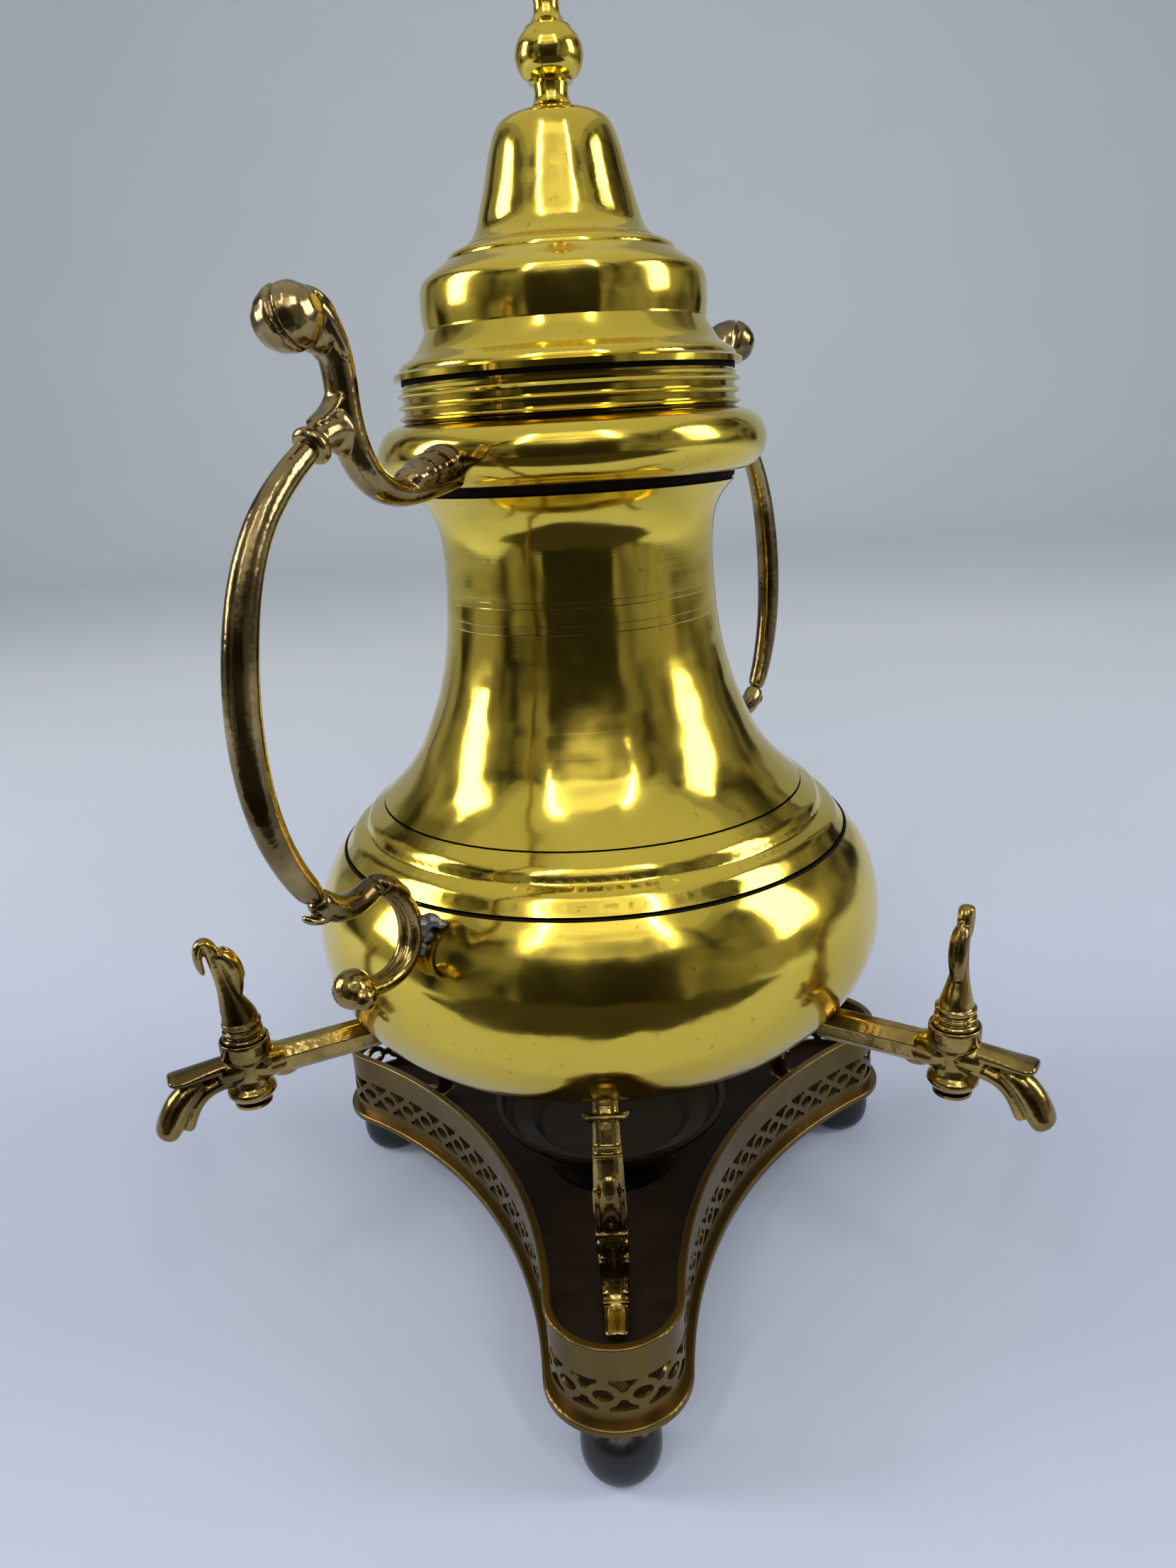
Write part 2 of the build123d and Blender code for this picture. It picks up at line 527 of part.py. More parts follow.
head_z = plug_low - washer_t
screw = Pos(TAP_R, 0, head_z + (washer_t + screw_len) / 2) * Cylinder(KEY_SCREW_R,
                                                                     washer_t + screw_len)
head = Pos(TAP_R, 0, 0) * lathe([(0, head_z), (3.2, head_z), (3.0, head_z - 1.2),
                                 (2.0, head_z - 1.9), (0, head_z - 2.1)])
screw += head
screw -= Pos(TAP_R, 0, head_z - 1.8) * Box(7, 0.9, 1.4)
for side, az in TAP_AZ.items():
    turn = 0 if side == "left" else 90       # the left tap is photographed open
    save(f"tap_{side}_body", at_angle(tap, az))
    for name, piece in (("key", key), ("washer", washer), ("screw", screw)):
        piece = Pos(TAP_R, 0, 0) * Rot(0, 0, turn) * Pos(-TAP_R, 0, 0) * piece
        save(f"tap_{side}_{name}", at_angle(piece, az))

# Legs: cast straps in an S, soldered under the belly, with a toe on the board.
root = between(0, BELLY_R, BELLY_BOTTOM, BELLY_MID, [(0.755, 0.30)])[0]    # on the belly's line
LEG = [(0.755, 1.0), (0.80, 0.93), (0.845, 0.80), (0.862, 0.64), (0.845, 0.45), (0.818, 0.29),
       (0.814, 0.17), (0.842, 0.075), (0.895, 0.040), (0.955, 0.030)]
leg_line = between(0, BELLY_R, FLOOR_Z, root[1], LEG)
leg_path = Spline(*[(x, 0, z) for x, z in leg_line])


def leg_section(share, width, depth):
    p, d = leg_path @ share, leg_path % share
    plane = Plane(origin=p, x_dir=(0, 1, 0), z_dir=d)
    return plane * RectangleRounded(width, depth, 0.28 * depth)


leg_widths = [0.80, 0.82, 0.92, 1.0, 1.03, 1.0, 0.96, 0.86, 0.80, 0.79]
leg = loft([leg_section(i / 9, w * LEG_W, LEG_T * (0.45 + 0.55 * w))
            for i, w in enumerate(leg_widths)])


def leg_bar(share, length, width, depth):
    p, d = leg_path @ share, leg_path % share
    plane = Plane(origin=p - d * (length / 2), x_dir=(0, 1, 0), z_dir=d)
    return extrude(plane * RectangleRounded(width, depth, 0.2 * depth), length)


for share, width in ((0.060, 1.30), (0.100, 1.05), (0.225, 1.02), (0.395, 1.14), (0.545, 1.12),
                     (0.690, 0.98)):
    leg += leg_bar(share, 2.2, width * LEG_W, 1.25 * LEG_T)
toe_x = TOE_R * BELLY_R
leg += Pos(toe_x - 7.0, 0, FLOOR_Z + 2.0) * Box(14.0, 0.82 * LEG_W, 4.0)
leg -= belly_full
leg -= extrude(Plane.XY * Rectangle(4 * BELLY_R, 4 * BELLY_R), FLOOR_Z)
hole_x = toe_x - 9.0
leg -= Pos(hole_x, 0, FLOOR_Z + 1.5) * Cylinder(SCREW_R, 5.0)
leg = max(leg.solids(), key=lambda s: s.volume)
for name, az in zip(("front", "right", "left"), LEG_AZ):
    save(f"leg_{name}", at_angle(leg, az))

# Tray: floor board, bottom moulding, pierced wall, rolled rim, feet and screws.
wall_out = EDGE_OUT
wall_in = EDGE_OUT + WALL_T
board = extrude(tray_face(wall_in, FOOT_H), BOARD_T)
edge = tray_ring(0, wall_in, FOOT_H, EDGE_T)
tops = edge.edges().filter_by_position(Axis.Z, FOOT_H + EDGE_T, FOOT_H + EDGE_T + 0.01)
outer_top = [e for e in tops
             if any(Vertex(*(e @ 0.5)).distance_to(Vertex(*a[1], FOOT_H + EDGE_T)) < 0.5
                    for a in tray_arcs(0))]
edge = fillet(outer_top, 0.4 * EDGE_T)
wall_z = FOOT_H + EDGE_T
wall = tray_ring(wall_out, wall_in, wall_z, WALL_H)
# Between two oval rings: a flat-topped opening with hollow sides, above and below.
low, high = 0.25 * PIERCE_BAND / 2, PIERCE_BAND / 2
spandrel = Pos(0, (low + high) / 2) * Rectangle(PIERCE_PITCH - PIERCE_WEB, high - low)
for side in (-0.5, 0.5):
    spandrel -= Pos(side * PIERCE_PITCH, 0) * Ellipse(0.44 * PIERCE_PITCH, 0.8 * high)
cuts = []
for x, y, az, halfway in along_outline(wall_out + WALL_T / 2, PIERCE_PITCH):
    place = Pos(x, y, wall_z + PIERCE_Z) * Rot(0, 0, az)
    through = Plane.YZ.offset(-2 * WALL_T)
    if halfway:
        for up in (1, -1):
            cuts.append(place * extrude(through * Rot(0, 0, 0 if up > 0 else 180) * spandrel,
                                        4 * WALL_T))
    else:
        cuts.append(place * extrude(through * Ellipse(PIERCE_W / 2, PIERCE_H / 2), 4 * WALL_T))
wall -= cuts
rim_z = wall_z + WALL_H
rim_back = wall_out + WALL_T / 2 - RIM_W / 2
rim = tray_ring(rim_back, rim_back + RIM_W, rim_z, RIM_H)
rim = fillet(rim.edges().filter_by(GeomType.CIRCLE), 0.38 * RIM_H)
foot = turned([(0, 0), (0.56 * FOOT_R, 0)],
              [(0.56 * FOOT_R, 0), (0.86 * FOOT_R, 0.12 * FOOT_H), (FOOT_R, 0.39 * FOOT_H),
               (0.9 * FOOT_R, 0.64 * FOOT_H), (0.62 * FOOT_R, 0.80 * FOOT_H)],
              [(0.62 * FOOT_R, 0.80 * FOOT_H), (0.62 * FOOT_R, FOOT_H)],
              [(0.62 * FOOT_R, FOOT_H), (0, FOOT_H)], [(0, FOOT_H), (0, 0)])
sunk = FLOOR_Z - SCREW_HEAD_H
foot_screw_len = BOARD_T + 0.55 * FOOT_H
wood_screw = lathe([(0, FLOOR_Z), (SCREW_HEAD_R, FLOOR_Z), (SCREW_R, sunk),
                    (SCREW_R, FLOOR_Z - foot_screw_len), (0, FLOOR_Z - foot_screw_len)])
slot = Pos(0, 0, FLOOR_Z) * Box(2.5 * SCREW_HEAD_R, 0.8, 1.2)
foot_hole = lathe([(0, FLOOR_Z), (SCREW_HEAD_R, FLOOR_Z), (SCREW_R, sunk),
                   (SCREW_R, FLOOR_Z - foot_screw_len), (0, FLOOR_Z - foot_screw_len)])
leg_screw = lathe([(0, FOOT_H), (SCREW_HEAD_R, FOOT_H), (SCREW_R, FOOT_H + SCREW_HEAD_H),
                   (SCREW_R, FLOOR_Z + 4.0), (0, FLOOR_Z + 4.0)])
leg_slot = Pos(0, 0, FOOT_H) * Box(2.5 * SCREW_HEAD_R, 0.8, 1.2)
dish_screw_len = 8.0
foot_screws, leg_screws = [], []
for name, az in zip(("front", "right", "left"), LEG_AZ):
    place = at_angle(Pos(FOOT_RING_R, 0, 0), az)
    board -= place * foot_hole
    save(f"foot_{name}", place * (foot - foot_hole))
    foot_screws.append(place * (wood_screw - slot))
    place = at_angle(Pos(hole_x, 0, 0), az)
    board -= place * leg_screw
    leg_screws.append(place * (leg_screw - leg_slot))
save("foot_screws", Compound([s for f in foot_screws for s in f.solids()]))
save("leg_screws", Compound([s for f in leg_screws for s in f.solids()]))
save("tray_edge", edge)
save("tray_wall", wall)
save("tray_rim", rim)

# Charcoal dish: a stepped, fluted dish on a turned stand, screwed to the board from below.
BOWL = [(0.22, 0.0), (0.62, 0.064), (0.70, 0.264), (0.86, 0.436), (0.93, 0.679), (1.0, 0.914)]
dish_z = FLOOR_Z + DISH_H
bowl = between(0, DISH_R, dish_z - DISH_DEEP, dish_z, BOWL)
dish_low = bowl[0][1]
dish = lathe([(0, dish_low)] + bowl + [(DISH_R, dish_z), (DISH_R - 2.2, dish_z)]
             + [(r, z + DISH_T * 0.9) for r, z in inset(bowl[:-1], 0.5 * DISH_T)[::-1]]
             + [(0, dish_low + DISH_T * 0.9 + 0.3)])
stand_h = dish_low - FLOOR_Z
stand = [(0, 0), (26.0, 0), (26.0, 0.10), (22.0, 0.18), (10.0, 0.34), (7.0, 0.55), (9.0, 0.80),
         (0.22 * DISH_R, 1.0), (0, 1.0)]
stand = lathe([(r, FLOOR_Z + stand_h * k) for r, k in stand])
pin_r = 2.5
stand += Pos(0, 0, dish_low + 1.5) * Cylinder(pin_r, 3.0)
dish -= Pos(0, 0, dish_low + 1.5) * Cylinder(pin_r, 6.0)
stand -= Pos(0, 0, FLOOR_Z + dish_screw_len / 2) * Cylinder(SCREW_R, dish_screw_len)
dish_screw = lathe([(0, FOOT_H), (SCREW_HEAD_R, FOOT_H), (SCREW_R, FOOT_H + SCREW_HEAD_H),
                    (SCREW_R, FLOOR_Z + dish_screw_len), (0, FLOOR_Z + dish_screw_len)])
board -= dish_screw
save("dish_screw", dish_screw - leg_slot)
save("charcoal_dish", dish)
save("dish_stand", stand)
save("tray_board", board)
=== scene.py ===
import bpy
import math
from mathutils import Matrix, Vector


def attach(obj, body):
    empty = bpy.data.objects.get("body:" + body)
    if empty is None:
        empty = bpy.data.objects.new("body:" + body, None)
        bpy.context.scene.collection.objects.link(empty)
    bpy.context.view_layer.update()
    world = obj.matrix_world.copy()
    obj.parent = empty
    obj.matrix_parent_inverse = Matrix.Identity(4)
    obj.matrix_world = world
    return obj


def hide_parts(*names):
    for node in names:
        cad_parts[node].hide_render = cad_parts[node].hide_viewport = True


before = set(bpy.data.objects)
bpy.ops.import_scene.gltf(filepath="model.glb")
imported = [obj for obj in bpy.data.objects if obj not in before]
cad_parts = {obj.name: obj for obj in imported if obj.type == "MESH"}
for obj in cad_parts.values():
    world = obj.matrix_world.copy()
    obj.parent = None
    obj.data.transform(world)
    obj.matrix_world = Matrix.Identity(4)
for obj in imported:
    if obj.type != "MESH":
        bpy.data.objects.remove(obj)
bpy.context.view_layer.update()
bpy.ops.object.select_all(action="DESELECT")


# Studio: a sheet of pale paper that sweeps up behind the urn, soft lamps, and a dim room
# with dark felt in front, which only the polished metal mirrors.
def linear(hex_colour):
    # The colour as the eye sees it, turned into the light values the shader wants.
    parts = [int(hex_colour[i:i + 2], 16) / 255 for i in (1, 3, 5)]
    light = [c / 12.92 if c <= 0.04045 else ((c + 0.055) / 1.055) ** 2.4 for c in parts]
    return (*light, 1.0)


def add_node(material, kind, links=None, **settings):
    # One node of the material. Settings named like its sockets set them, others set the
    # node itself, and links joins sockets to the outputs given.
    node = material.node_tree.nodes.new(kind)
    for name, value in settings.items():
        socket = name.replace("_", " ").title()
        if socket in node.inputs:
            node.inputs[socket].default_value = value
        else:
            setattr(node, name, value)
    for socket, output in (links or {}).items():
        material.node_tree.links.new(output, node.inputs[socket])
    return node


def new_material(name, **settings):
    # A material whose shader holds the settings that are the same all over.
    material = bpy.data.materials.new(name)
    material.use_nodes = True
    shader = material.node_tree.nodes["Principled BSDF"]
    for socket, value in settings.items():
        shader.inputs[socket.replace("_", " ")].default_value = value
    return material, shader


def mix(material, factor, first, second):
    # Two colours mixed by a factor; each is a hex colour or an output.
    node = add_node(material, "ShaderNodeMix", {"Factor": factor}, data_type="RGBA")
    for socket, value in (("A", first), ("B", second)):
        if isinstance(value, str):
            node.inputs[socket].default_value = linear(value)
        else:
            material.node_tree.links.new(value, node.inputs[socket])
    return node.outputs["Result"]


def spread(material, value, low, high, to_low, to_high):
    # A value stretched from one range to another and held at the ends.
    node = add_node(material, "ShaderNodeMapRange", {"Value": value})
    for socket, number in (("From Min", low), ("From Max", high), ("To Min", to_low),
                           ("To Max", to_high)):
        node.inputs[socket].default_value = number
    return node.outputs["Result"]


def place(material, x=1.0, y=1.0, z=1.0):
    # Object coordinates, stretched along each axis.
    coord = add_node(material, "ShaderNodeTexCoord")
    node = add_node(material, "ShaderNodeMapping", {"Vector": coord.outputs["Object"]})
    node.inputs["Scale"].default_value = (x, y, z)
    return node.outputs["Vector"]


def noise(material, vector, scale, detail=2.0):
    # A soft random pattern; a scale of 100 gives patches about 10 mm across.
    return add_node(material, "ShaderNodeTexNoise", {"Vector": vector}, scale=scale,
                    detail=detail).outputs["Fac"]


def bump(material, height, metres, normal=None):
    # Fine relief of the given depth, laid over an earlier one if there is one.
    links = {"Height": height}
    if normal is not None:
        links["Normal"] = normal
    return add_node(material, "ShaderNodeBump", links, distance=metres).outputs["Normal"]


def join(material, output, shader, socket):
    # An output led to a socket of the material's shader.
    material.node_tree.links.new(output, shader.inputs[socket])


# Uncoated paper, matt, with faint cloudy fibres. It is bluish in front and whiter far back,
# so that the backdrop keeps pale though less light reaches it.
NEAR, FAR = 0.1, 1.3
paper, shader = new_material("matt_paper", Roughness=0.9)
shader.inputs["Specular IOR Level"].default_value = 0.2
fibre = noise(paper, place(paper), 3.0)
depth = add_node(paper, "ShaderNodeSeparateXYZ", {"Vector": place(paper)}).outputs["Y"]
join(paper, mix(paper, spread(paper, depth, NEAR, FAR, 0.0, 1.0),
                mix(paper, fibre, "#BBC2D5", "#C5CBDD"), mix(paper, fibre, "#EDF1F5", "#F3F6F9")),
     shader, "Base Color")

SHEET, BEND_STEPS, BEND_STEP, WALL = 3.2, 8, 0.12, 1.6
bpy.ops.mesh.primitive_plane_add(size=SHEET, location=(0, 1.0, -0.0002))
sweep = bpy.context.object
sweep.name = "paper_sweep"
sweep.scale = (2.6, 1, 1)
bpy.ops.object.transform_apply(scale=True)
bpy.ops.object.mode_set(mode="EDIT")
bpy.ops.mesh.select_mode(type="EDGE")
bpy.ops.mesh.select_all(action="DESELECT")
bpy.ops.object.mode_set(mode="OBJECT")
for edge in sweep.data.edges:
    edge.select = all(sweep.data.vertices[v].co.y > 1.5 for v in edge.vertices)
bpy.ops.object.mode_set(mode="EDIT")
for step in range(BEND_STEPS):
    tilt = math.radians(90 / BEND_STEPS * (step + 0.5))
    bpy.ops.mesh.extrude_edges_move(TRANSFORM_OT_translate={
        "value": (0, BEND_STEP * math.cos(tilt), BEND_STEP * math.sin(tilt))})
bpy.ops.mesh.extrude_edges_move(TRANSFORM_OT_translate={"value": (0, 0, WALL)})
bpy.ops.object.mode_set(mode="OBJECT")
bpy.ops.object.transform_apply(location=True)
bpy.ops.object.shade_smooth()
sweep.data.materials.append(paper)

# What the bright metal mirrors: patchy plaster walls, black felt before the urn and a pale
# cloth overhead that glows, a painted reflection of a ceiling light. No lens, shadow or matt
# surface sees them.
plaster, shader = new_material("shaded_plaster", Roughness=1.0)
patches = spread(plaster, noise(plaster, place(plaster), 0.9, 1.0), 0.34, 0.62, 0.0, 1.0)
join(plaster, mix(plaster, patches, "#2A261F", "#DAD3C4"), shader, "Base Color")
felt, shader = new_material("dark_felt", Roughness=1.0)
nap = noise(felt, place(felt), 40.0, 3.0)
join(felt, mix(felt, nap, "#1E1A16", "#2E2823"), shader, "Base Color")
# Painted reflection: the cloth glows, though it is no lamp, so that the metal mirrors a soft
# ceiling light.
ceiling_glow, shader = new_material("reflection_glow", Roughness=1.0)
shader.inputs["Base Color"].default_value = linear("#E8E6E0")
shader.inputs["Emission Color"].default_value = linear("#F2F0E8")
shader.inputs["Emission Strength"].default_value = 0.25

bpy.ops.mesh.primitive_cube_add(size=1.0, location=(0, 0.3, 1.0))
room = bpy.context.object
room.name = "dim_room"
room.scale = (5.6, 5.4, 3.6)
bpy.ops.object.transform_apply(location=True, scale=True)
bpy.ops.object.mode_set(mode="EDIT")
bpy.ops.mesh.select_mode(type="FACE")
bpy.ops.mesh.select_all(action="DESELECT")
bpy.ops.object.mode_set(mode="OBJECT")
for face in room.data.polygons:
    face.select = abs(face.normal.z) > 0.5 or face.normal.y > 0.5
bpy.ops.object.mode_set(mode="EDIT")
bpy.ops.mesh.delete(type="FACE")
bpy.ops.object.mode_set(mode="OBJECT")
room.data.materials.append(plaster)
flags = [room]
for name, cloth, y, z, wide, tall, tilt in (
        ("felt_screen", felt, -1.1, 0.55, 1.2, 1.1, 90),
        ("felt_mat", felt, -0.76, 0.001, 1.5, 0.86, 0),
        ("ceiling_glow_panel", ceiling_glow, -0.1, 2.7, 4.4, 4.0, 180)):
    bpy.ops.mesh.primitive_plane_add(size=1.0, location=(0, y, z),
                                     rotation=(math.radians(tilt), 0, 0))
    flag = bpy.context.object
    flag.name = name
    flag.scale = (wide, tall, 1)
    bpy.ops.object.transform_apply(location=True, rotation=True, scale=True)
    flag.data.materials.append(cloth)
    flags.append(flag)
for flag in flags:
    flag.visible_camera = flag.visible_diffuse = flag.visible_shadow = False

world = bpy.data.worlds.new("studio_air")
bpy.context.scene.world = world
world.use_nodes = True
air = world.node_tree.nodes["Background"]
air.inputs["Color"].default_value = linear("#C2C8CE")
air.inputs["Strength"].default_value = 0.55

AIM = Vector((0, 0, 0.2))


def soft_lamp(name, azimuth, height, distance, width, tall, watts):
    # A square soft lamp that looks at the middle of the urn; azimuth in degrees, sizes in
    # metres.
    around = math.radians(azimuth)
    spot = Vector((distance * math.cos(around), distance * math.sin(around), height))
    lamp = bpy.data.lights.new(name, "AREA")
    lamp.shape = "RECTANGLE"
    lamp.size, lamp.size_y, lamp.energy = width, tall, watts
    holder = bpy.data.objects.new(name, lamp)
    bpy.context.scene.collection.objects.link(holder)
    holder.matrix_world = (Matrix.Translation(spot)
                           @ (AIM - spot).to_track_quat("-Z", "Y").to_matrix().to_4x4())


soft_lamp("lamp_left", -178, 0.9, 1.5, 0.5, 0.9, 12)
soft_lamp("lamp_right", -8, 0.9, 1.5, 0.5, 0.9, 10)
soft_lamp("lamp_front", -90, 1.6, 1.3, 1.2, 0.9, 2.5)
soft_lamp("lamp_front_low", -90, 1.12, 1.3, 0.9, 0.1, 5)
soft_lamp("lamp_front_left", -118, 1.6, 1.4, 0.1, 1.0, 5)
soft_lamp("lamp_front_right", -62, 1.6, 1.4, 0.1, 1.0, 5)

# Camera: a wide lens close to the urn, level with its mouth, looking down and leaning a
# little to one side. Lens and film in millimetres, the eye in metres, turns in degrees.
LENS, FILM = 25.92, 36
EYE = Vector((0.0098, -0.3977, 0.3143))
TURN, LOOK_DOWN, LEAN = 1.63, 17.46, 3.45
camera = bpy.data.objects.new("camera", bpy.data.cameras.new("camera"))
bpy.context.scene.collection.objects.link(camera)
camera.data.lens = LENS
camera.data.sensor_width = FILM
camera.data.clip_start = 0.01
camera.matrix_world = (Matrix.Translation(EYE) @ Matrix.Rotation(math.radians(TURN), 4, "Z")
                       @ Matrix.Rotation(math.radians(90 - LOOK_DOWN), 4, "X")
                       @ Matrix.Rotation(math.radians(-LEAN), 4, "Z"))
bpy.context.scene.camera = camera
bpy.context.scene.view_settings.view_transform = "Standard"


# Spun shells: sheet brass, spun on a lathe and polished bright, with faint turning lines,
# shallow dents and small dull specks from long use. Painted shade darkens the sharp corners
# and creases, and the lines turned into the neck get a pale painted highlight.
def coat(material, names):
    # The CAD pieces of these names, given the material.
    for name in names:
        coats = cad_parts[name].data.materials
        coats.clear()
        coats.append(material)


LINES_FOOT, LINES_TOP = (0.2515, 0.2520), (0.2645, 0.2650)
brass, shader = new_material("spun_brass", Metallic=1.0)
tone = noise(brass, place(brass), 18.0, 3.0)
specks = spread(brass, noise(brass, place(brass), 420.0, 4.0), 0.66, 0.74, 0.0, 0.5)
clean = mix(brass, specks, mix(brass, tone, "#DFC046", "#EFD458"), "#96742A")
# Painted shade: where the occlusion node finds corners and creases, the colour turns dark brown;
# at the height of the neck lines it turns pale instead, a painted highlight.
corner_occlusion = add_node(brass, "ShaderNodeAmbientOcclusion", distance=0.004, samples=6).outputs["AO"]
height = add_node(brass, "ShaderNodeSeparateXYZ", {"Vector": place(brass)}).outputs["Z"]
above = spread(brass, height, *LINES_TOP, 0.0, 1.0)
painted_shade_and_glint = mix(brass, spread(brass, height, *LINES_FOOT, 0.0, 1.0), "#33240C",
             mix(brass, above, "#FCF6DC", "#33240C"))
join(brass, mix(brass, spread(brass, corner_occlusion, 0.30, 0.75, 0.0, 1.0), painted_shade_and_glint, clean), shader,
     "Base Color")
dull = noise(brass, place(brass), 60.0, 5.0)
join(brass, spread(brass, dull, 0.35, 0.75, 0.09, 0.19), shader, "Roughness")
lines = noise(brass, place(brass, 6.0, 6.0, 900.0), 1.0, 3.0)
dents = noise(brass, place(brass, 1.0, 1.0, 1.6), 22.0, 2.0)
join(brass, bump(brass, lines, 0.00001, bump(brass, dents, 0.0013)), shader, "Normal")
coat(brass, ("belly_shell", "shoulder_shell", "raised_band", "collar_ring", "lid_shell",
             "lid_sleeve", "lid_finial"))

# Cast pieces: sand-cast brass, filed and worn smooth by hands, with brown tarnish in
# patches and painted shade in the hollows. The handles are of a browner metal than the taps and
# legs.
HANDLES_FROM = (0.166, 0.186)
cast, shader = new_material("cast_brass", Metallic=1.0)
hollow_shade = add_node(cast, "ShaderNodeNewGeometry").outputs["Pointiness"]
tone = noise(cast, place(cast), 90.0, 4.0)
height = add_node(cast, "ShaderNodeSeparateXYZ", {"Vector": place(cast)}).outputs["Z"]
skin = mix(cast, spread(cast, height, *HANDLES_FROM, 0.0, 1.0),
           mix(cast, tone, "#8F7640", "#C6AA60"), mix(cast, tone, "#857149", "#B49E69"))
tarnish = spread(cast, noise(cast, place(cast), 38.0, 4.0), 0.44, 0.64, 0.0, 0.85)
skin = mix(cast, tarnish, skin, "#534229")
# Painted shade: hollows, where pointiness is low, are coloured near black.
join(cast, mix(cast, spread(cast, hollow_shade, 0.44, 0.495, 0.0, 1.0), "#231A0C", skin), shader,
     "Base Color")
join(cast, spread(cast, tone, 0.3, 0.7, 0.12, 0.24), shader, "Roughness")
grain = noise(cast, place(cast), 700.0, 3.0)
lumps = noise(cast, place(cast), 170.0, 2.0)
join(cast, bump(cast, grain, 0.00005, bump(cast, lumps, 0.0003)), shader, "Normal")
coat(cast, [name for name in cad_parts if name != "leg_screws"
            and name.startswith(("handle_", "tap_", "leg_", "finial_nut"))])

# Tray metal: rolled sheet brass, pierced, bent round the board and never polished, so it
# has gone dull and brownish in cloudy stains.
dull_brass, shader = new_material("dull_sheet_brass", Metallic=1.0)
stain = noise(dull_brass, place(dull_brass), 45.0, 5.0)
join(dull_brass, mix(dull_brass, stain, "#574524", "#85703F"), shader, "Base Color")
join(dull_brass, spread(dull_brass, stain, 0.3, 0.7, 0.42, 0.28), shader, "Roughness")
ripple = noise(dull_brass, place(dull_brass), 120.0, 3.0)
join(dull_brass, bump(dull_brass, ripple, 0.0003), shader, "Normal")
coat(dull_brass, ("tray_wall", "tray_rim", "tray_edge"))

# Floor board: thin deal board, sawn to three lobes, stained dark brown and gone matt, with
# the grain running from left to right.
board_wood, shader = new_material("stained_board", Roughness=0.68)
shader.inputs["Specular IOR Level"].default_value = 0.3
rings = noise(board_wood, place(board_wood, 4.0, 60.0, 60.0), 6.0, 6.0)
join(board_wood, mix(board_wood, rings, "#180E07", "#301F10"), shader, "Base Color")
join(board_wood, bump(board_wood, rings, 0.0002), shader, "Normal")
coat(board_wood, ("tray_board",))

# Bun feet: beech, turned, blackened and polished to a low sheen, screwed to the board from
# above.
ebony, shader = new_material("blackened_wood")
grain = noise(ebony, place(ebony, 1.0, 1.0, 0.25), 300.0, 4.0)
join(ebony, mix(ebony, grain, "#0B0A09", "#1C1815"), shader, "Base Color")
join(ebony, spread(ebony, grain, 0.3, 0.7, 0.22, 0.34), shader, "Roughness")
coat(ebony, ("foot_front", "foot_left", "foot_right"))

# Charcoal dish and its stand: thin cast iron, blackened by heat and slightly rough from
# soot, screwed to the middle of the board.
iron, shader = new_material("blackened_iron", Metallic=1.0)
soot = noise(iron, place(iron), 110.0, 5.0)
join(iron, mix(iron, soot, "#221D18", "#463D34"), shader, "Base Color")
join(iron, spread(iron, soot, 0.3, 0.7, 0.30, 0.50), shader, "Roughness")
join(iron, bump(iron, soot, 0.0004), shader, "Normal")
coat(iron, ("charcoal_dish", "dish_stand"))

# Screws: drawn steel, dull grey, that hold the feet, the toes of the legs and the dish to
# the board.
steel, shader = new_material("dull_steel", Metallic=1.0)
rub = noise(steel, place(steel), 500.0, 3.0)
join(steel, mix(steel, rub, "#6E6A64", "#8C8881"), shader, "Base Color")
join(steel, spread(steel, rub, 0.3, 0.7, 0.35, 0.5), shader, "Roughness")
coat(steel, ("foot_screws", "leg_screws", "dish_screw"))


# Upper handle brackets: cast brass. An S-shaped bar with a leaf claw soldered to the roll,
# a rolled ball at its top, a crumpled leaf under the ball and a bead where the grip starts.
def bar(stations, sides=8, soft=2, aside=0.0, upright=False, square=False):
    # A solid bar in the plane y = 0, drawn out ring by ring. Each station gives x and z of
    # the ring's middle, half its width along y and half its thickness, in millimetres.
    spots = [Vector((s[0], aside, s[1])) / 1000 for s in stations]
    turns = []
    for i in range(len(spots)):
        step = spots[min(i + 1, len(spots) - 1)] - spots[max(i - 1, 0)]
        turns.append(math.pi / 2 if upright else math.atan2(step.z, step.x))
    # Smoothing draws a ring in, so a soft one starts larger.
    full = 0.001 / (2 / 3 + math.cos(2 * math.pi / sides) / 3) if soft else 0.001
    if square:
        sides, soft, full = 4, 0, 0.001 * math.sqrt(2)
    bpy.ops.mesh.primitive_circle_add(vertices=sides, radius=full, fill_type="NGON",
                                      rotation=(0, math.pi / 2, 0))
    piece = bpy.context.object
    bpy.ops.object.transform_apply(rotation=True)
    if square:
        piece.rotation_euler = (math.pi / 4, 0, 0)
        bpy.ops.object.transform_apply(rotation=True)
    bpy.ops.object.mode_set(mode="EDIT")
    bpy.ops.mesh.select_all(action="SELECT")
    last = (Vector(), 0.0, 1.0, 1.0)
    for spot, turn, (_, _, wide, thick) in zip(spots, turns, stations):
        if last[0].length > 0:
            bpy.ops.mesh.extrude_region_move(TRANSFORM_OT_translate={"value": spot - last[0]})
        else:
            bpy.ops.transform.translate(value=spot)
        swing = (turn - last[1] + math.pi) % (2 * math.pi) - math.pi
        if abs(swing) > 1e-5:
            bpy.ops.transform.rotate(value=swing, orient_axis="Y", center_override=spot)
        grow = thick / last[3]
        bpy.ops.transform.resize(value=(grow, wide / last[2], grow), center_override=spot)
        last = (spot, turn, wide, thick)
    bpy.ops.mesh.select_all(action="SELECT")
    bpy.ops.mesh.normals_make_consistent(inside=False)
    bpy.ops.object.mode_set(mode="OBJECT")
    if soft:
        smooth = piece.modifiers.new("smooth", "SUBSURF")
        smooth.levels = smooth.render_levels = soft
        bpy.ops.object.modifier_apply(modifier="smooth")
    return piece


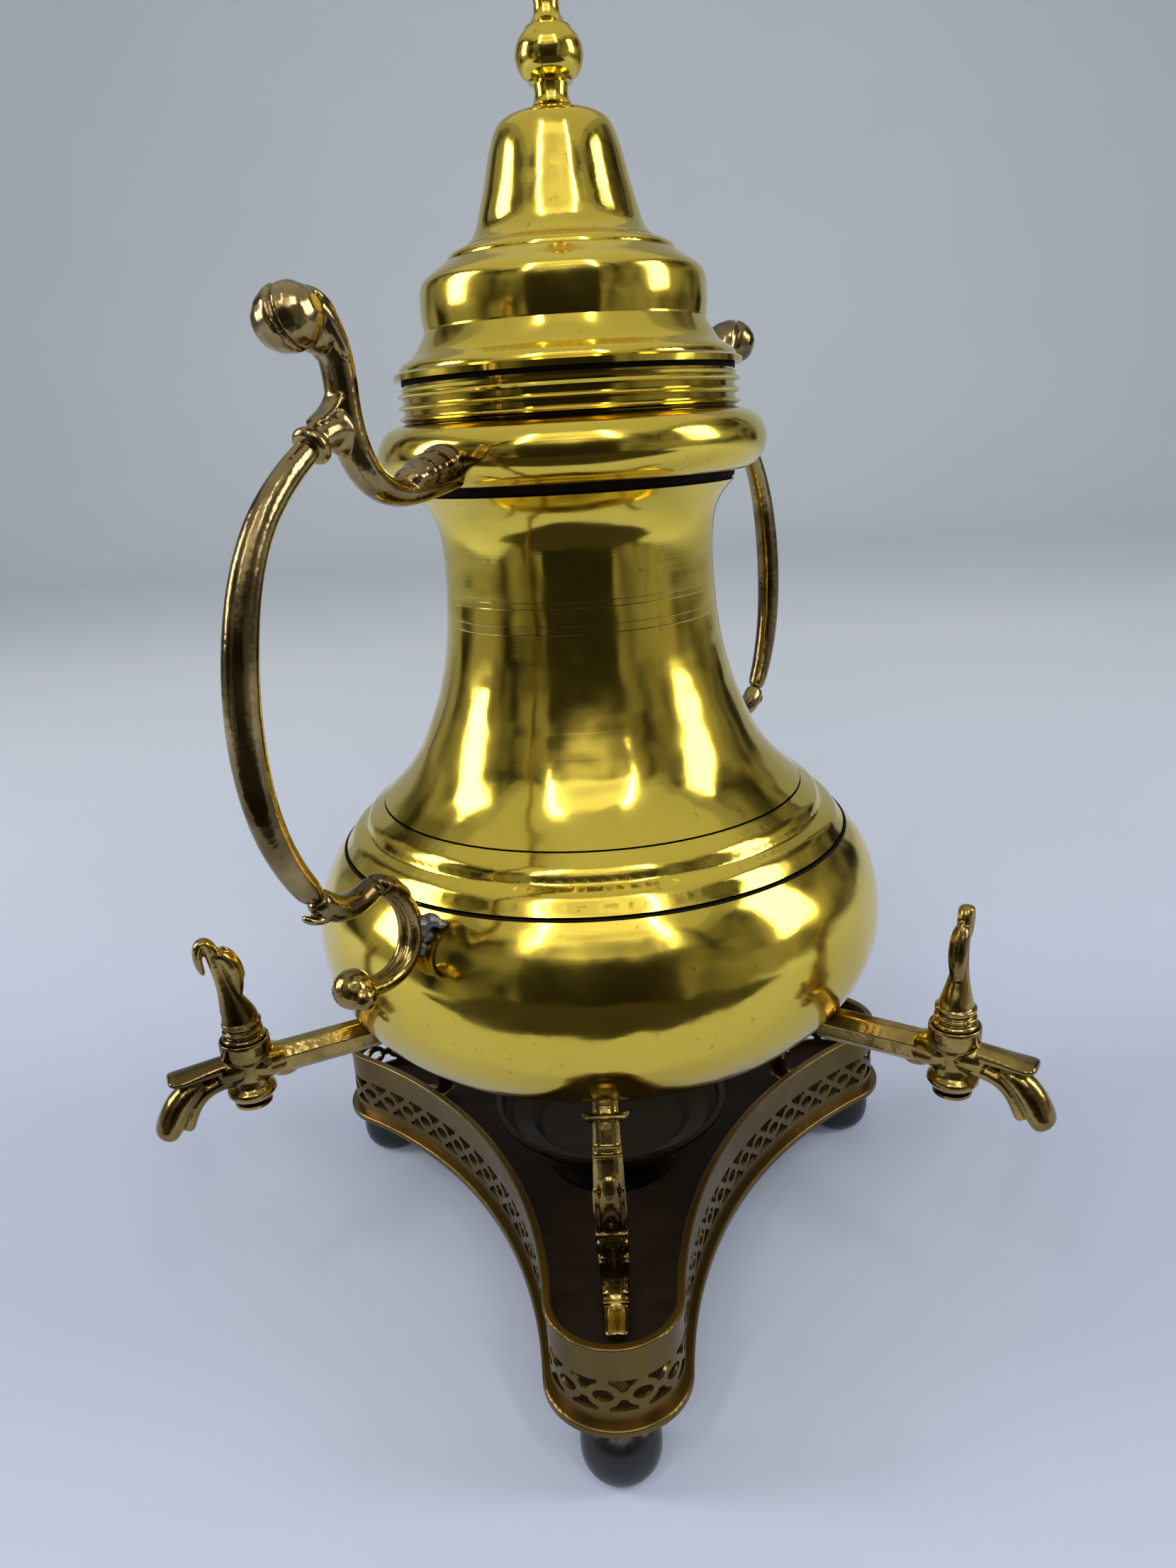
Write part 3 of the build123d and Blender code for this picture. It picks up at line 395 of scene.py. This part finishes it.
def lump(x, y, z, rx, ry, rz):
    # A round lump: its middle and its half sizes, in millimetres.
    bpy.ops.mesh.primitive_uv_sphere_add(segments=20, ring_count=12, radius=0.001)
    piece = bpy.context.object
    piece.scale = (rx, ry, rz)
    piece.location = (x / 1000, y / 1000, z / 1000)
    bpy.ops.object.transform_apply(location=True, rotation=True, scale=True)
    return piece


def fuse(name, parts, grid, rounds=3):
    # The parts melted into one casting on a fine grid (millimetres), then smoothed.
    bpy.ops.object.select_all(action="DESELECT")
    for part in parts:
        part.select_set(True)
    piece = parts[0]
    bpy.context.view_layer.objects.active = piece
    if len(parts) > 1:
        bpy.ops.object.join()
    piece.name = name
    melt = piece.modifiers.new("melt", "REMESH")
    melt.mode = "VOXEL"
    melt.voxel_size = grid / 1000
    bpy.ops.object.modifier_apply(modifier="melt")
    rub = piece.modifiers.new("rub", "SMOOTH")
    rub.iterations = rounds
    bpy.ops.object.modifier_apply(modifier="rub")
    bpy.ops.object.shade_smooth()
    bpy.ops.object.select_all(action="DESELECT")
    return piece


def set_piece(piece, name, angle, material, slot, body, *nodes):
    # A copy of the casting with its own mesh, turned to its angle about the urn's axis.
    copy = piece.copy()
    copy.data = piece.data.copy()
    copy.name = copy.data.name = name
    bpy.context.scene.collection.objects.link(copy)
    bpy.ops.object.select_all(action="DESELECT")
    copy.select_set(True)
    bpy.context.view_layer.objects.active = copy
    copy.rotation_euler = (0, 0, math.radians(angle))
    bpy.ops.object.transform_apply(location=True, rotation=True, scale=True)
    copy.select_set(False)
    copy.data.materials.clear()
    copy.data.materials.append(material)
    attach(copy, body)
    if nodes:
        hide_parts(*nodes)


def turn_piece(piece, x, y, z, about_x=0.0, about_y=0.0, about_z=0.0):
    # A part turned (degrees) and moved to its place (millimetres).
    bpy.ops.object.select_all(action="DESELECT")
    piece.select_set(True)
    bpy.context.view_layer.objects.active = piece
    piece.rotation_euler = [math.radians(a) for a in (about_x, about_y, about_z)]
    piece.location = (x / 1000, y / 1000, z / 1000)
    bpy.ops.object.transform_apply(location=True, rotation=True, scale=True)
    return piece


HANDLE_ANGLES = (("left", -123.6), ("right", 56.4))
arm = bar([(58.5, 302.6, 3.0, 2.6), (63.5, 302.4, 4.2, 3.4), (71.0, 301.4, 4.6, 3.8),
           (79.0, 300.2, 4.6, 4.0), (87.0, 299.8, 4.8, 4.1), (95.2, 302.6, 5.1, 4.3),
           (101.2, 310.3, 5.4, 4.4), (103.6, 320.4, 5.0, 4.0), (103.2, 330.8, 4.8, 3.9),
           (105.0, 339.6, 5.2, 4.2), (109.2, 346.2, 5.6, 4.4), (114.0, 348.6, 5.8, 4.4)])
ridge = bar([(88.5, 303.7, 1.0, 0.9), (94.6, 306.0, 1.1, 1.0), (98.0, 311.6, 1.2, 1.0),
             (99.9, 320.6, 1.1, 1.0), (99.5, 331.2, 1.0, 0.9), (101.4, 341.0, 1.0, 0.9)])
branch = bar([(99.5, 315.6, 4.2, 3.8), (106.0, 318.0, 4.6, 4.6), (112.0, 317.2, 4.5, 4.4),
              (117.0, 313.8, 4.0, 4.0)])
lip = bar([(104.6, 330.0, 3.2, 0.9), (107.4, 323.6, 3.8, 1.0), (112.5, 320.9, 3.9, 1.0),
           (115.2, 319.0, 3.4, 0.9)])
bead = bar([(114.2, 315.4, 4.2, 4.2), (115.0, 314.8, 5.2, 5.2), (116.0, 314.1, 5.7, 5.7),
            (117.0, 313.4, 5.3, 5.3), (117.8, 312.8, 4.2, 4.2)], sides=16, soft=1)
claw = bar([(85.4, 301.6, 2.8, 2.2), (81.2, 303.4, 6.0, 4.0), (79.0, 304.0, 5.2, 3.0),
            (76.8, 304.8, 7.0, 4.6), (74.4, 305.4, 6.0, 3.5), (72.0, 306.2, 7.6, 4.9),
            (69.6, 306.8, 6.4, 3.7), (67.0, 307.8, 7.8, 5.0), (64.2, 308.6, 6.6, 4.2),
            (61.6, 309.2, 5.0, 3.0)])
knob = bar([(0, z, r, r) for z, r in (
    (-8.6, 3.0), (-7.4, 5.2), (-4.6, 7.4), (-1.6, 8.5), (-0.1, 8.6), (0.2, 7.5), (1.0, 7.5),
    (1.4, 8.3), (4.4, 7.6), (7.0, 5.4), (8.6, 2.6))], sides=24, soft=0, upright=True)
knob = turn_piece(knob, 118.6, 0, 344.6, about_x=-72, about_z=18)
leaf = [lump(110.4, 0, 341.6, 5.0, 5.2, 5.6),
        bar([(106.0, 341.5, 5.4, 2.0), (108.6, 347.4, 6.2, 2.4), (112.6, 350.6, 5.4, 2.1),
             (116.0, 351.2, 3.6, 1.4)])]
leaf += [bar([(104.4, 334.6, 1.3, 1.6), (106.8, 340.4, 1.7, 2.4), (110.2, 345.4, 1.8, 2.6),
              (113.6, 349.0, 1.2, 1.6)], aside=y) for y in (-4.8, 0.0, 4.9)]
web = lump(105.4, 0, 317.6, 5.2, 4.4, 6.8)
bracket = fuse("bracket", [arm, ridge, branch, lip, bead, claw, knob, web] + leaf, 0.42)
for side, angle in HANDLE_ANGLES:
    set_piece(bracket, f"bracket_{side}", angle, cast, "cast_brass", "urn",
              f"handle_{side}_bracket")
bpy.data.objects.remove(bracket)

# Grips: drawn brass bars, tapered to both ends and bent by hand to a long bow, stuck into
# the bracket's bead above and the scroll below.
grip = bar([(116.2, 313.9, 3.2, 3.2), (119.5, 311.8, 3.4, 3.4), (125.1, 307.8, 3.6, 3.6),
            (131.9, 301.6, 3.8, 3.8), (138.3, 293.8, 4.0, 4.0), (145.1, 279.6, 4.4, 4.4),
            (149.5, 259.6, 4.8, 4.8), (150.5, 242.6, 4.8, 4.8), (149.3, 226.6, 4.6, 4.6),
            (145.3, 212.6, 4.3, 4.3), (139.4, 201.4, 3.9, 3.9), (134.8, 195.4, 3.7, 3.7)],
           sides=12)
grip = fuse("grip", [grip], 0.5, 4)
for side, angle in HANDLE_ANGLES:
    set_piece(grip, f"grip_{side}", angle, cast, "cast_brass", "urn", f"handle_{side}_grip")
bpy.data.objects.remove(grip)

# Lower scrolls: cast brass. A smooth bar from the grip's end, a leaf, and a C of two
# round ridges that ends in a rolled knob with a groove round it.
foot = bar([(135.4, 196.2, 3.6, 3.6), (133.4, 193.4, 4.1, 4.1), (129.6, 190.4, 4.3, 4.2),
            (124.6, 188.9, 4.2, 4.0), (119.4, 189.2, 3.8, 3.5), (115.4, 190.5, 3.7, 3.6),
            (112.6, 191.2, 3.2, 3.0)])
collar = bar([(114.8, 189.6, 3.9, 3.9), (113.9, 190.6, 4.5, 4.4), (112.9, 190.9, 3.9, 3.8)],
             sides=12, soft=1)
curl = bar([(129.5, 189.4, 2.4, 1.6), (134.0, 189.0, 2.8, 1.5), (138.2, 190.0, 2.4, 1.3),
            (140.2, 192.0, 1.6, 1.0)])
leaf = bar([(113.4, 190.9, 4.2, 3.6), (110.9, 191.4, 5.0, 3.2), (108.9, 189.8, 4.4, 2.8),
            (107.2, 189.6, 5.0, 2.8), (105.0, 186.9, 4.0, 2.4), (103.6, 186.2, 4.4, 2.3),
            (101.4, 181.6, 3.0, 1.8)])
C_LINE = ((111.5, 189.6), (106.5, 187.2), (101.9, 181.4), (100.1, 174.0), (101.5, 166.8),
          (106.3, 161.9), (113.0, 160.3), (120.0, 161.0), (124.6, 162.6))
C_SIZE = (1.5, 1.9, 2.2, 2.3, 2.2, 2.1, 2.0, 1.9, 1.8)
ridges = [bar([(x, z, r, 1.15 * r) for (x, z), r in zip(C_LINE, C_SIZE)], aside=y)
          for y in (-2.0, 2.0)]
web = bar([(x, z, r, 0.7 * r) for (x, z), r in zip(C_LINE, C_SIZE)])
knob = bar([(0, z, r, r) for z, r in (
    (-6.0, 2.2), (-4.8, 4.0), (-2.6, 5.5), (-0.4, 6.1), (-0.1, 5.2), (0.6, 5.2), (0.9, 6.0),
    (3.0, 5.3), (4.8, 3.8), (6.0, 1.8))], sides=24, soft=0, upright=True)
knob = turn_piece(knob, 125.6, -0.8, 163.4, about_x=-62, about_z=-34)
boss = lump(126.0, 4.6, 161.8, 3.6, 2.8, 3.6)
scroll = fuse("scroll", [foot, collar, curl, leaf, web, knob, boss] + ridges, 0.38)
for side, angle in HANDLE_ANGLES:
    set_piece(scroll, f"scroll_{side}", angle, cast, "cast_brass", "urn",
              f"handle_{side}_scroll")
bpy.data.objects.remove(scroll)

# Solder: lead and tin, run in blobs where the C's back touches the belly, dull grey and
# crusty, darker in its pits.
solder, shader = new_material("lead_solder", Metallic=1.0)
crust = noise(solder, place(solder), 260.0, 5.0)
join(solder, mix(solder, crust, "#3C3C3E", "#9A9C9C"), shader, "Base Color")
join(solder, spread(solder, crust, 0.3, 0.7, 0.6, 0.35), shader, "Roughness")
join(solder, bump(solder, crust, 0.0012), shader, "Normal")
blobs = [lump(x, y, z, a, b, c) for x, y, z, a, b, c in (
    (98.6, 1.5, 173.0, 2.6, 4.6, 3.6), (96.6, 5.0, 174.6, 2.4, 3.4, 2.2),
    (97.6, 3.2, 169.8, 2.2, 2.6, 2.4), (98.6, -2.4, 172.4, 2.4, 3.0, 2.8),
    (95.4, 8.0, 173.4, 1.8, 1.8, 1.3), (98.9, 2.4, 165.6, 1.6, 1.6, 2.4))]
blob = fuse("blob", blobs, 0.4, 2)
for side, angle in HANDLE_ANGLES:
    set_piece(blob, f"solder_{side}", angle, solder, "cast_brass", "urn")
bpy.data.objects.remove(blob)

# Tap bodies: cast brass. An eight-sided pipe, a barrel with a cup at the top and a flared
# foot, a duck-bill lip over the spout and an outlet with two lobes.
TAP_ANGLES = (("left", -153.0), ("right", -33.0), ("back", 87.0))
TAP_AXIS, PIPE_HEIGHT = 135.6, 114.6
pipe = bar([(90.0, 0, 5.7, 5.7), (131.0, 0, 5.7, 5.7)], soft=0)
pipe = turn_piece(pipe, 0, 0, PIPE_HEIGHT, about_x=22.5)
cheek = bar([(121.0, 114.8, 4.8, 4.8), (125.0, 114.8, 5.6, 5.4), (129.0, 115.2, 7.2, 6.0),
             (132.0, 115.8, 7.4, 6.4), (TAP_AXIS, 116.2, 6.4, 6.2)], sides=12, soft=1)
pad = lump(123.6, 0, 109.4, 4.4, 2.8, 1.8)
barrel = bar([(TAP_AXIS, z, r, r) for z, r in (
    (102.2, 4.0), (102.8, 5.6), (104.0, 7.3), (105.6, 8.3), (107.0, 8.1), (108.4, 6.4),
    (111.0, 5.9), (117.0, 6.3), (119.4, 7.8), (121.4, 8.4), (124.9, 8.4), (125.8, 8.1),
    (125.8, 7.7), (124.7, 7.6), (124.5, 3.0))], sides=32, soft=0, upright=True)
throat = bar([(TAP_AXIS, 116.0, 6.0, 5.6), (139.6, 115.6, 6.8, 5.6), (143.0, 115.0, 5.4, 4.6),
              (147.0, 114.6, 4.4, 3.6)], sides=12, soft=1)
spout = bar([(138.0, 112.4, 4.6, 3.6), (144.0, 112.2, 4.2, 3.2), (149.6, 110.8, 4.0, 3.0),
             (153.8, 107.4, 3.9, 2.8), (156.2, 103.0, 3.9, 2.6), (157.4, 99.4, 3.8, 2.4),
             (157.8, 97.4, 3.0, 1.8)])
hoof = bar([(149.6, 113.6, 3.4, 2.6), (154.0, 112.4, 4.4, 3.8), (157.6, 109.4, 5.1, 4.6),
            (160.4, 105.6, 5.5, 4.9), (162.8, 101.6, 5.8, 4.7), (164.4, 98.6, 5.6, 4.2),
            (165.4, 96.8, 4.4, 3.0)])
bill = bar([(138.0, 117.0, 4.4, 3.4), (144.0, 117.2, 4.5, 3.0), (150.0, 117.0, 4.8, 2.6),
            (155.0, 116.6, 5.3, 2.3), (158.8, 116.6, 5.6, 2.0), (161.0, 117.0, 4.8, 1.5),
            (161.8, 117.2, 3.6, 1.0)])
tap = fuse("tap", [pipe, cheek, pad, barrel, throat, spout, hoof, bill], 0.4, 2)
for side, angle in TAP_ANGLES:
    set_piece(tap, f"tap_{side}", angle, cast, "cast_brass", "urn", f"tap_{side}_body")
bpy.data.objects.remove(tap)

# Keys: cast brass, set in the barrels' cups. Turned rings, a horn-shaped stem and two curls
# that droop, one like a hook and one like a leaf. The left tap stands open.
KEY_DROP = 2.3
rings = bar([(0, z, r, r) for z, r in (
    (127.3, 3.0), (127.4, 7.0), (128.4, 7.2), (129.2, 6.6), (129.4, 5.6), (130.2, 5.6),
    (130.5, 6.6), (131.4, 6.8), (131.8, 5.7), (132.5, 5.7), (132.9, 6.5), (134.4, 6.6),
    (135.0, 4.0))], sides=32, soft=0, upright=True)
stem = bar([(0.0, 132.6, 5.3, 5.6), (0.1, 134.4, 5.7, 6.2), (0.5, 137.0, 5.0, 5.8),
            (1.5, 141.0, 3.8, 4.4), (2.8, 146.0, 2.7, 3.1), (3.9, 151.0, 2.3, 2.5),
            (4.8, 156.0, 2.2, 2.3), (5.6, 161.0, 2.4, 2.5), (7.2, 165.2, 2.5, 2.3),
            (9.3, 164.8, 2.4, 2.0), (10.4, 160.8, 2.1, 1.6), (10.0, 156.6, 1.8, 1.3),
            (9.0, 153.2, 1.2, 0.8)], sides=10)
rib = bar([(5.2, 136.4, 1.2, 1.2), (4.9, 141.0, 1.0, 1.1), (5.0, 147.0, 0.8, 1.0),
           (5.5, 152.0, 0.7, 0.9)])
droop = bar([(5.8, 158.4, 2.1, 2.0), (3.6, 159.4, 2.5, 2.6), (1.2, 157.4, 2.9, 2.9),
             (-0.4, 153.2, 3.1, 2.8), (-1.0, 148.4, 2.7, 2.3), (-0.8, 144.0, 1.9, 1.3),
             (-0.4, 142.0, 0.9, 0.7)])
vein = bar([(3.4, 162.0, 0.7, 0.8), (-0.4, 160.2, 0.7, 0.8), (-3.0, 154.6, 0.7, 0.7),
            (-3.3, 148.8, 0.6, 0.6)])
key = fuse("key", [rings, stem, rib, droop, vein], 0.34, 2)
for (side, angle), turn in zip(TAP_ANGLES, (0, 90, 90)):
    turned = key.copy()
    turned.data = key.data.copy()
    bpy.context.scene.collection.objects.link(turned)
    turn_piece(turned, TAP_AXIS, 0, -KEY_DROP, about_z=turn)
    set_piece(turned, f"key_{side}", angle, cast, "cast_brass", f"key_{side}",
              f"tap_{side}_key")
    bpy.data.objects.remove(turned)
bpy.data.objects.remove(key)

# Legs: cast brass straps in an S, with an eared collar under the belly, cross mouldings, a
# framed panel, a shell of beads and a toe screwed to the board.
LEG_ANGLES = (("front", -90.0), ("right", 30.0), ("left", 150.0))
strap = bar([(75.0, 108.4, 4.0, 2.4), (79.5, 103.2, 4.4, 2.7), (82.7, 99.0, 4.4, 2.9),
             (87.2, 89.4, 5.0, 3.2), (89.0, 77.5, 5.5, 3.4), (88.6, 70.0, 5.8, 3.4),
             (87.4, 63.4, 5.7, 3.3), (84.6, 51.5, 5.5, 3.2), (84.2, 42.6, 5.0, 3.0),
             (87.0, 35.8, 4.6, 2.8), (92.5, 32.9, 4.5, 2.6), (98.4, 32.1, 4.5, 2.3),
             (102.4, 31.9, 4.2, 2.0)], soft=1)
across = [bar([(a, b, w, t), (c, d, w, t)], square=True) for a, b, c, d, w, t in (
    (81.2, 101.8, 82.0, 100.7, 6.0, 3.3), (85.6, 94.0, 85.9, 93.2, 4.7, 3.2),
    (86.5, 91.6, 86.8, 90.8, 4.8, 3.2), (87.7, 64.6, 87.3, 62.9, 5.4, 3.8),
    (84.9, 52.6, 84.7, 51.8, 5.2, 3.3), (84.5, 50.2, 84.4, 49.5, 5.1, 3.2),
    (86.2, 37.0, 86.9, 36.1, 4.4, 3.1), (89.2, 34.6, 90.0, 34.1, 4.4, 3.0))]
rails = [bar([(91.6, 83.0, 0.9, 0.9), (92.1, 77.5, 1.1, 1.0), (91.8, 70.0, 1.1, 1.0),
              (90.7, 64.0, 1.0, 1.0)], aside=y) for y in (-4.5, 4.5)]
panel = bar([(90.6, 86.0, 2.2, 1.0), (91.6, 80.0, 3.3, 2.0), (91.8, 75.0, 3.5, 2.2),
             (91.3, 70.0, 3.3, 2.0), (90.2, 66.2, 2.2, 1.0)])
ears = [turn_piece(bar([(0, -2.6, 2.2, 1.5), (0, 0.4, 1.8, 1.3), (0, 2.6, 1.2, 1.0),
                        (0, 4.4, 0.5, 0.5)], upright=True), 82.2, y, 101.6, about_x=-tilt,
                   about_y=12) for y, tilt in ((4.4, 52), (-4.4, -52))]
beads = [lump(x, y, z, 1.5, 1.35, 1.35) for x, y, z in (
    (89.2, 0, 60.6), (88.9, 2.4, 60.0), (88.9, -2.4, 60.0), (88.4, 4.2, 58.2),
    (88.4, -4.2, 58.2), (88.3, 1.4, 57.6), (88.3, -1.4, 57.6))]
beads += [lump(87.6, y, z, 1.1, 0.8, 2.3) for y, z in (
    (0, 55.6), (1.9, 56.0), (-1.9, 56.0), (3.7, 56.6), (-3.7, 56.6))]
root = lump(76.4, 0, 106.4, 4.6, 5.4, 2.4)
leg = fuse("leg", [strap, root, panel] + across + rails + ears + beads, 0.36, 2)
for side, angle in LEG_ANGLES:
    set_piece(leg, f"leg_{side}_cast", angle, cast, "cast_brass", "urn", f"leg_{side}")
bpy.data.objects.remove(leg)

# Collar: spun brass, soldered on the neck's lip. A round roll on a hollow foot and a band
# with three sharp ribs that takes the lid's sleeve.
WELD = 0.000005


def spun(name, profile, sides=128):
    # A closed shell of revolution about the urn's axis from (radius, height) points.
    radius, height = profile[0]
    bpy.ops.mesh.primitive_circle_add(vertices=sides, radius=radius / 1000, fill_type="NOTHING",
                                      location=(0, 0, height / 1000))
    piece = bpy.context.object
    piece.name = name
    bpy.ops.object.transform_apply(location=True)
    bpy.ops.object.mode_set(mode="EDIT")
    bpy.ops.mesh.select_all(action="SELECT")
    for new_radius, new_height in profile[1:] + profile[:1]:
        bpy.ops.mesh.extrude_edges_move(TRANSFORM_OT_translate={
            "value": (0, 0, (new_height - height) / 1000)})
        grow = new_radius / radius
        bpy.ops.transform.resize(value=(grow, grow, 1), center_override=(0, 0, 0))
        radius, height = new_radius, new_height
    bpy.ops.mesh.select_all(action="SELECT")
    bpy.ops.mesh.remove_doubles(threshold=WELD)
    bpy.ops.mesh.normals_make_consistent(inside=False)
    bpy.ops.object.mode_set(mode="OBJECT")
    bpy.ops.object.shade_smooth_by_angle(angle=math.radians(35))
    bpy.ops.object.select_all(action="DESELECT")
    return piece


ROLL_MIDDLE, ROLL_HEIGHT, ROLL_SIZE = 55.1, 308.6, 9.8
BAND, RIBS = 54.9, (320.2, 323.7, 327.3)
roll = [(ROLL_MIDDLE + ROLL_SIZE * math.cos(math.radians(a)),
         ROLL_HEIGHT + ROLL_SIZE * math.sin(math.radians(a))) for a in range(-84, 91, 6)]
band = [(BAND, 318.5)]
for z in RIBS:
    band += [(BAND, z - 1.0), (56.3, z - 0.5), (56.6, z), (56.3, z + 0.5), (BAND, z + 1.0)]
band += [(55.2, 329.4), (54.5, 329.7), (54.5, 331.85)]
collar = spun("collar_spun", [(50.9, 295.9), (50.9, 298.6)] + roll + band
              + [(54.25, 331.85), (54.25, 319.4), (60.6, 313.0), (62.6, 308.6),
                 (60.0, 302.6), (55.1, 300.6), (49.6, 299.8), (49.6, 295.9)])
collar.data.materials.append(brass)
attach(collar, "urn")
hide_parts("collar_ring")

# Painted shade: black rings set in the gap under the roll, in the groove under the lid's
# flange and along the foot of the raised band, where shade falls.
gap_shade, shader = new_material("painted_gap_shade", Roughness=0.9)
shader.inputs["Specular IOR Level"].default_value = 0.1
shade_mottle = noise(gap_shade, place(gap_shade), 150.0, 4.0)
join(gap_shade, mix(gap_shade, shade_mottle, "#080502", "#1A1208"), shader, "Base Color")
join(gap_shade, bump(gap_shade, shade_mottle, 0.0005), shader, "Normal")
# Each ring is a thin dark shell of painted shade, not a real deposit.
for name, profile in (
        ("shade_under_roll", [(50.6, 295.95), (53.2, 295.95), (54.2, 297.2), (54.4, 298.95),
                             (50.6, 299.2)]),
        ("shade_under_lid", [(54.3, 330.3), (54.9, 330.5), (54.9, 331.8), (54.3, 331.8)]),
        ("shade_under_band", [(90.7, 175.6), (91.15, 175.9), (91.7, 175.2), (91.3, 174.8)])):
    seam = spun(name, profile)
    seam.data.materials.append(gap_shade)
    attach(seam, "urn")

# Finial: cast and turned brass, a ball on a short stem with a slender waisted tip, held by
# a nut under the lid.
finial = spun("finial_spun", [
    (0.05, 409.0), (6.4, 409.2), (6.6, 410.0), (5.7, 411.2), (5.2, 413.6), (5.4, 416.0),
    (6.8, 416.4), (7.0, 417.2), (8.6, 418.2), (10.0, 420.4), (10.7, 423.2), (10.4, 426.0),
    (9.2, 428.6), (7.4, 430.4), (7.2, 431.2), (5.4, 432.4), (4.2, 434.6), (3.8, 437.4),
    (4.2, 439.6), (5.4, 440.6), (5.4, 441.4), (4.6, 442.2), (4.8, 443.6), (4.2, 445.6),
    (2.6, 447.2), (0.05, 447.9)], sides=96)
finial.data.materials.append(brass)
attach(finial, "lid")
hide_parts("lid_finial")
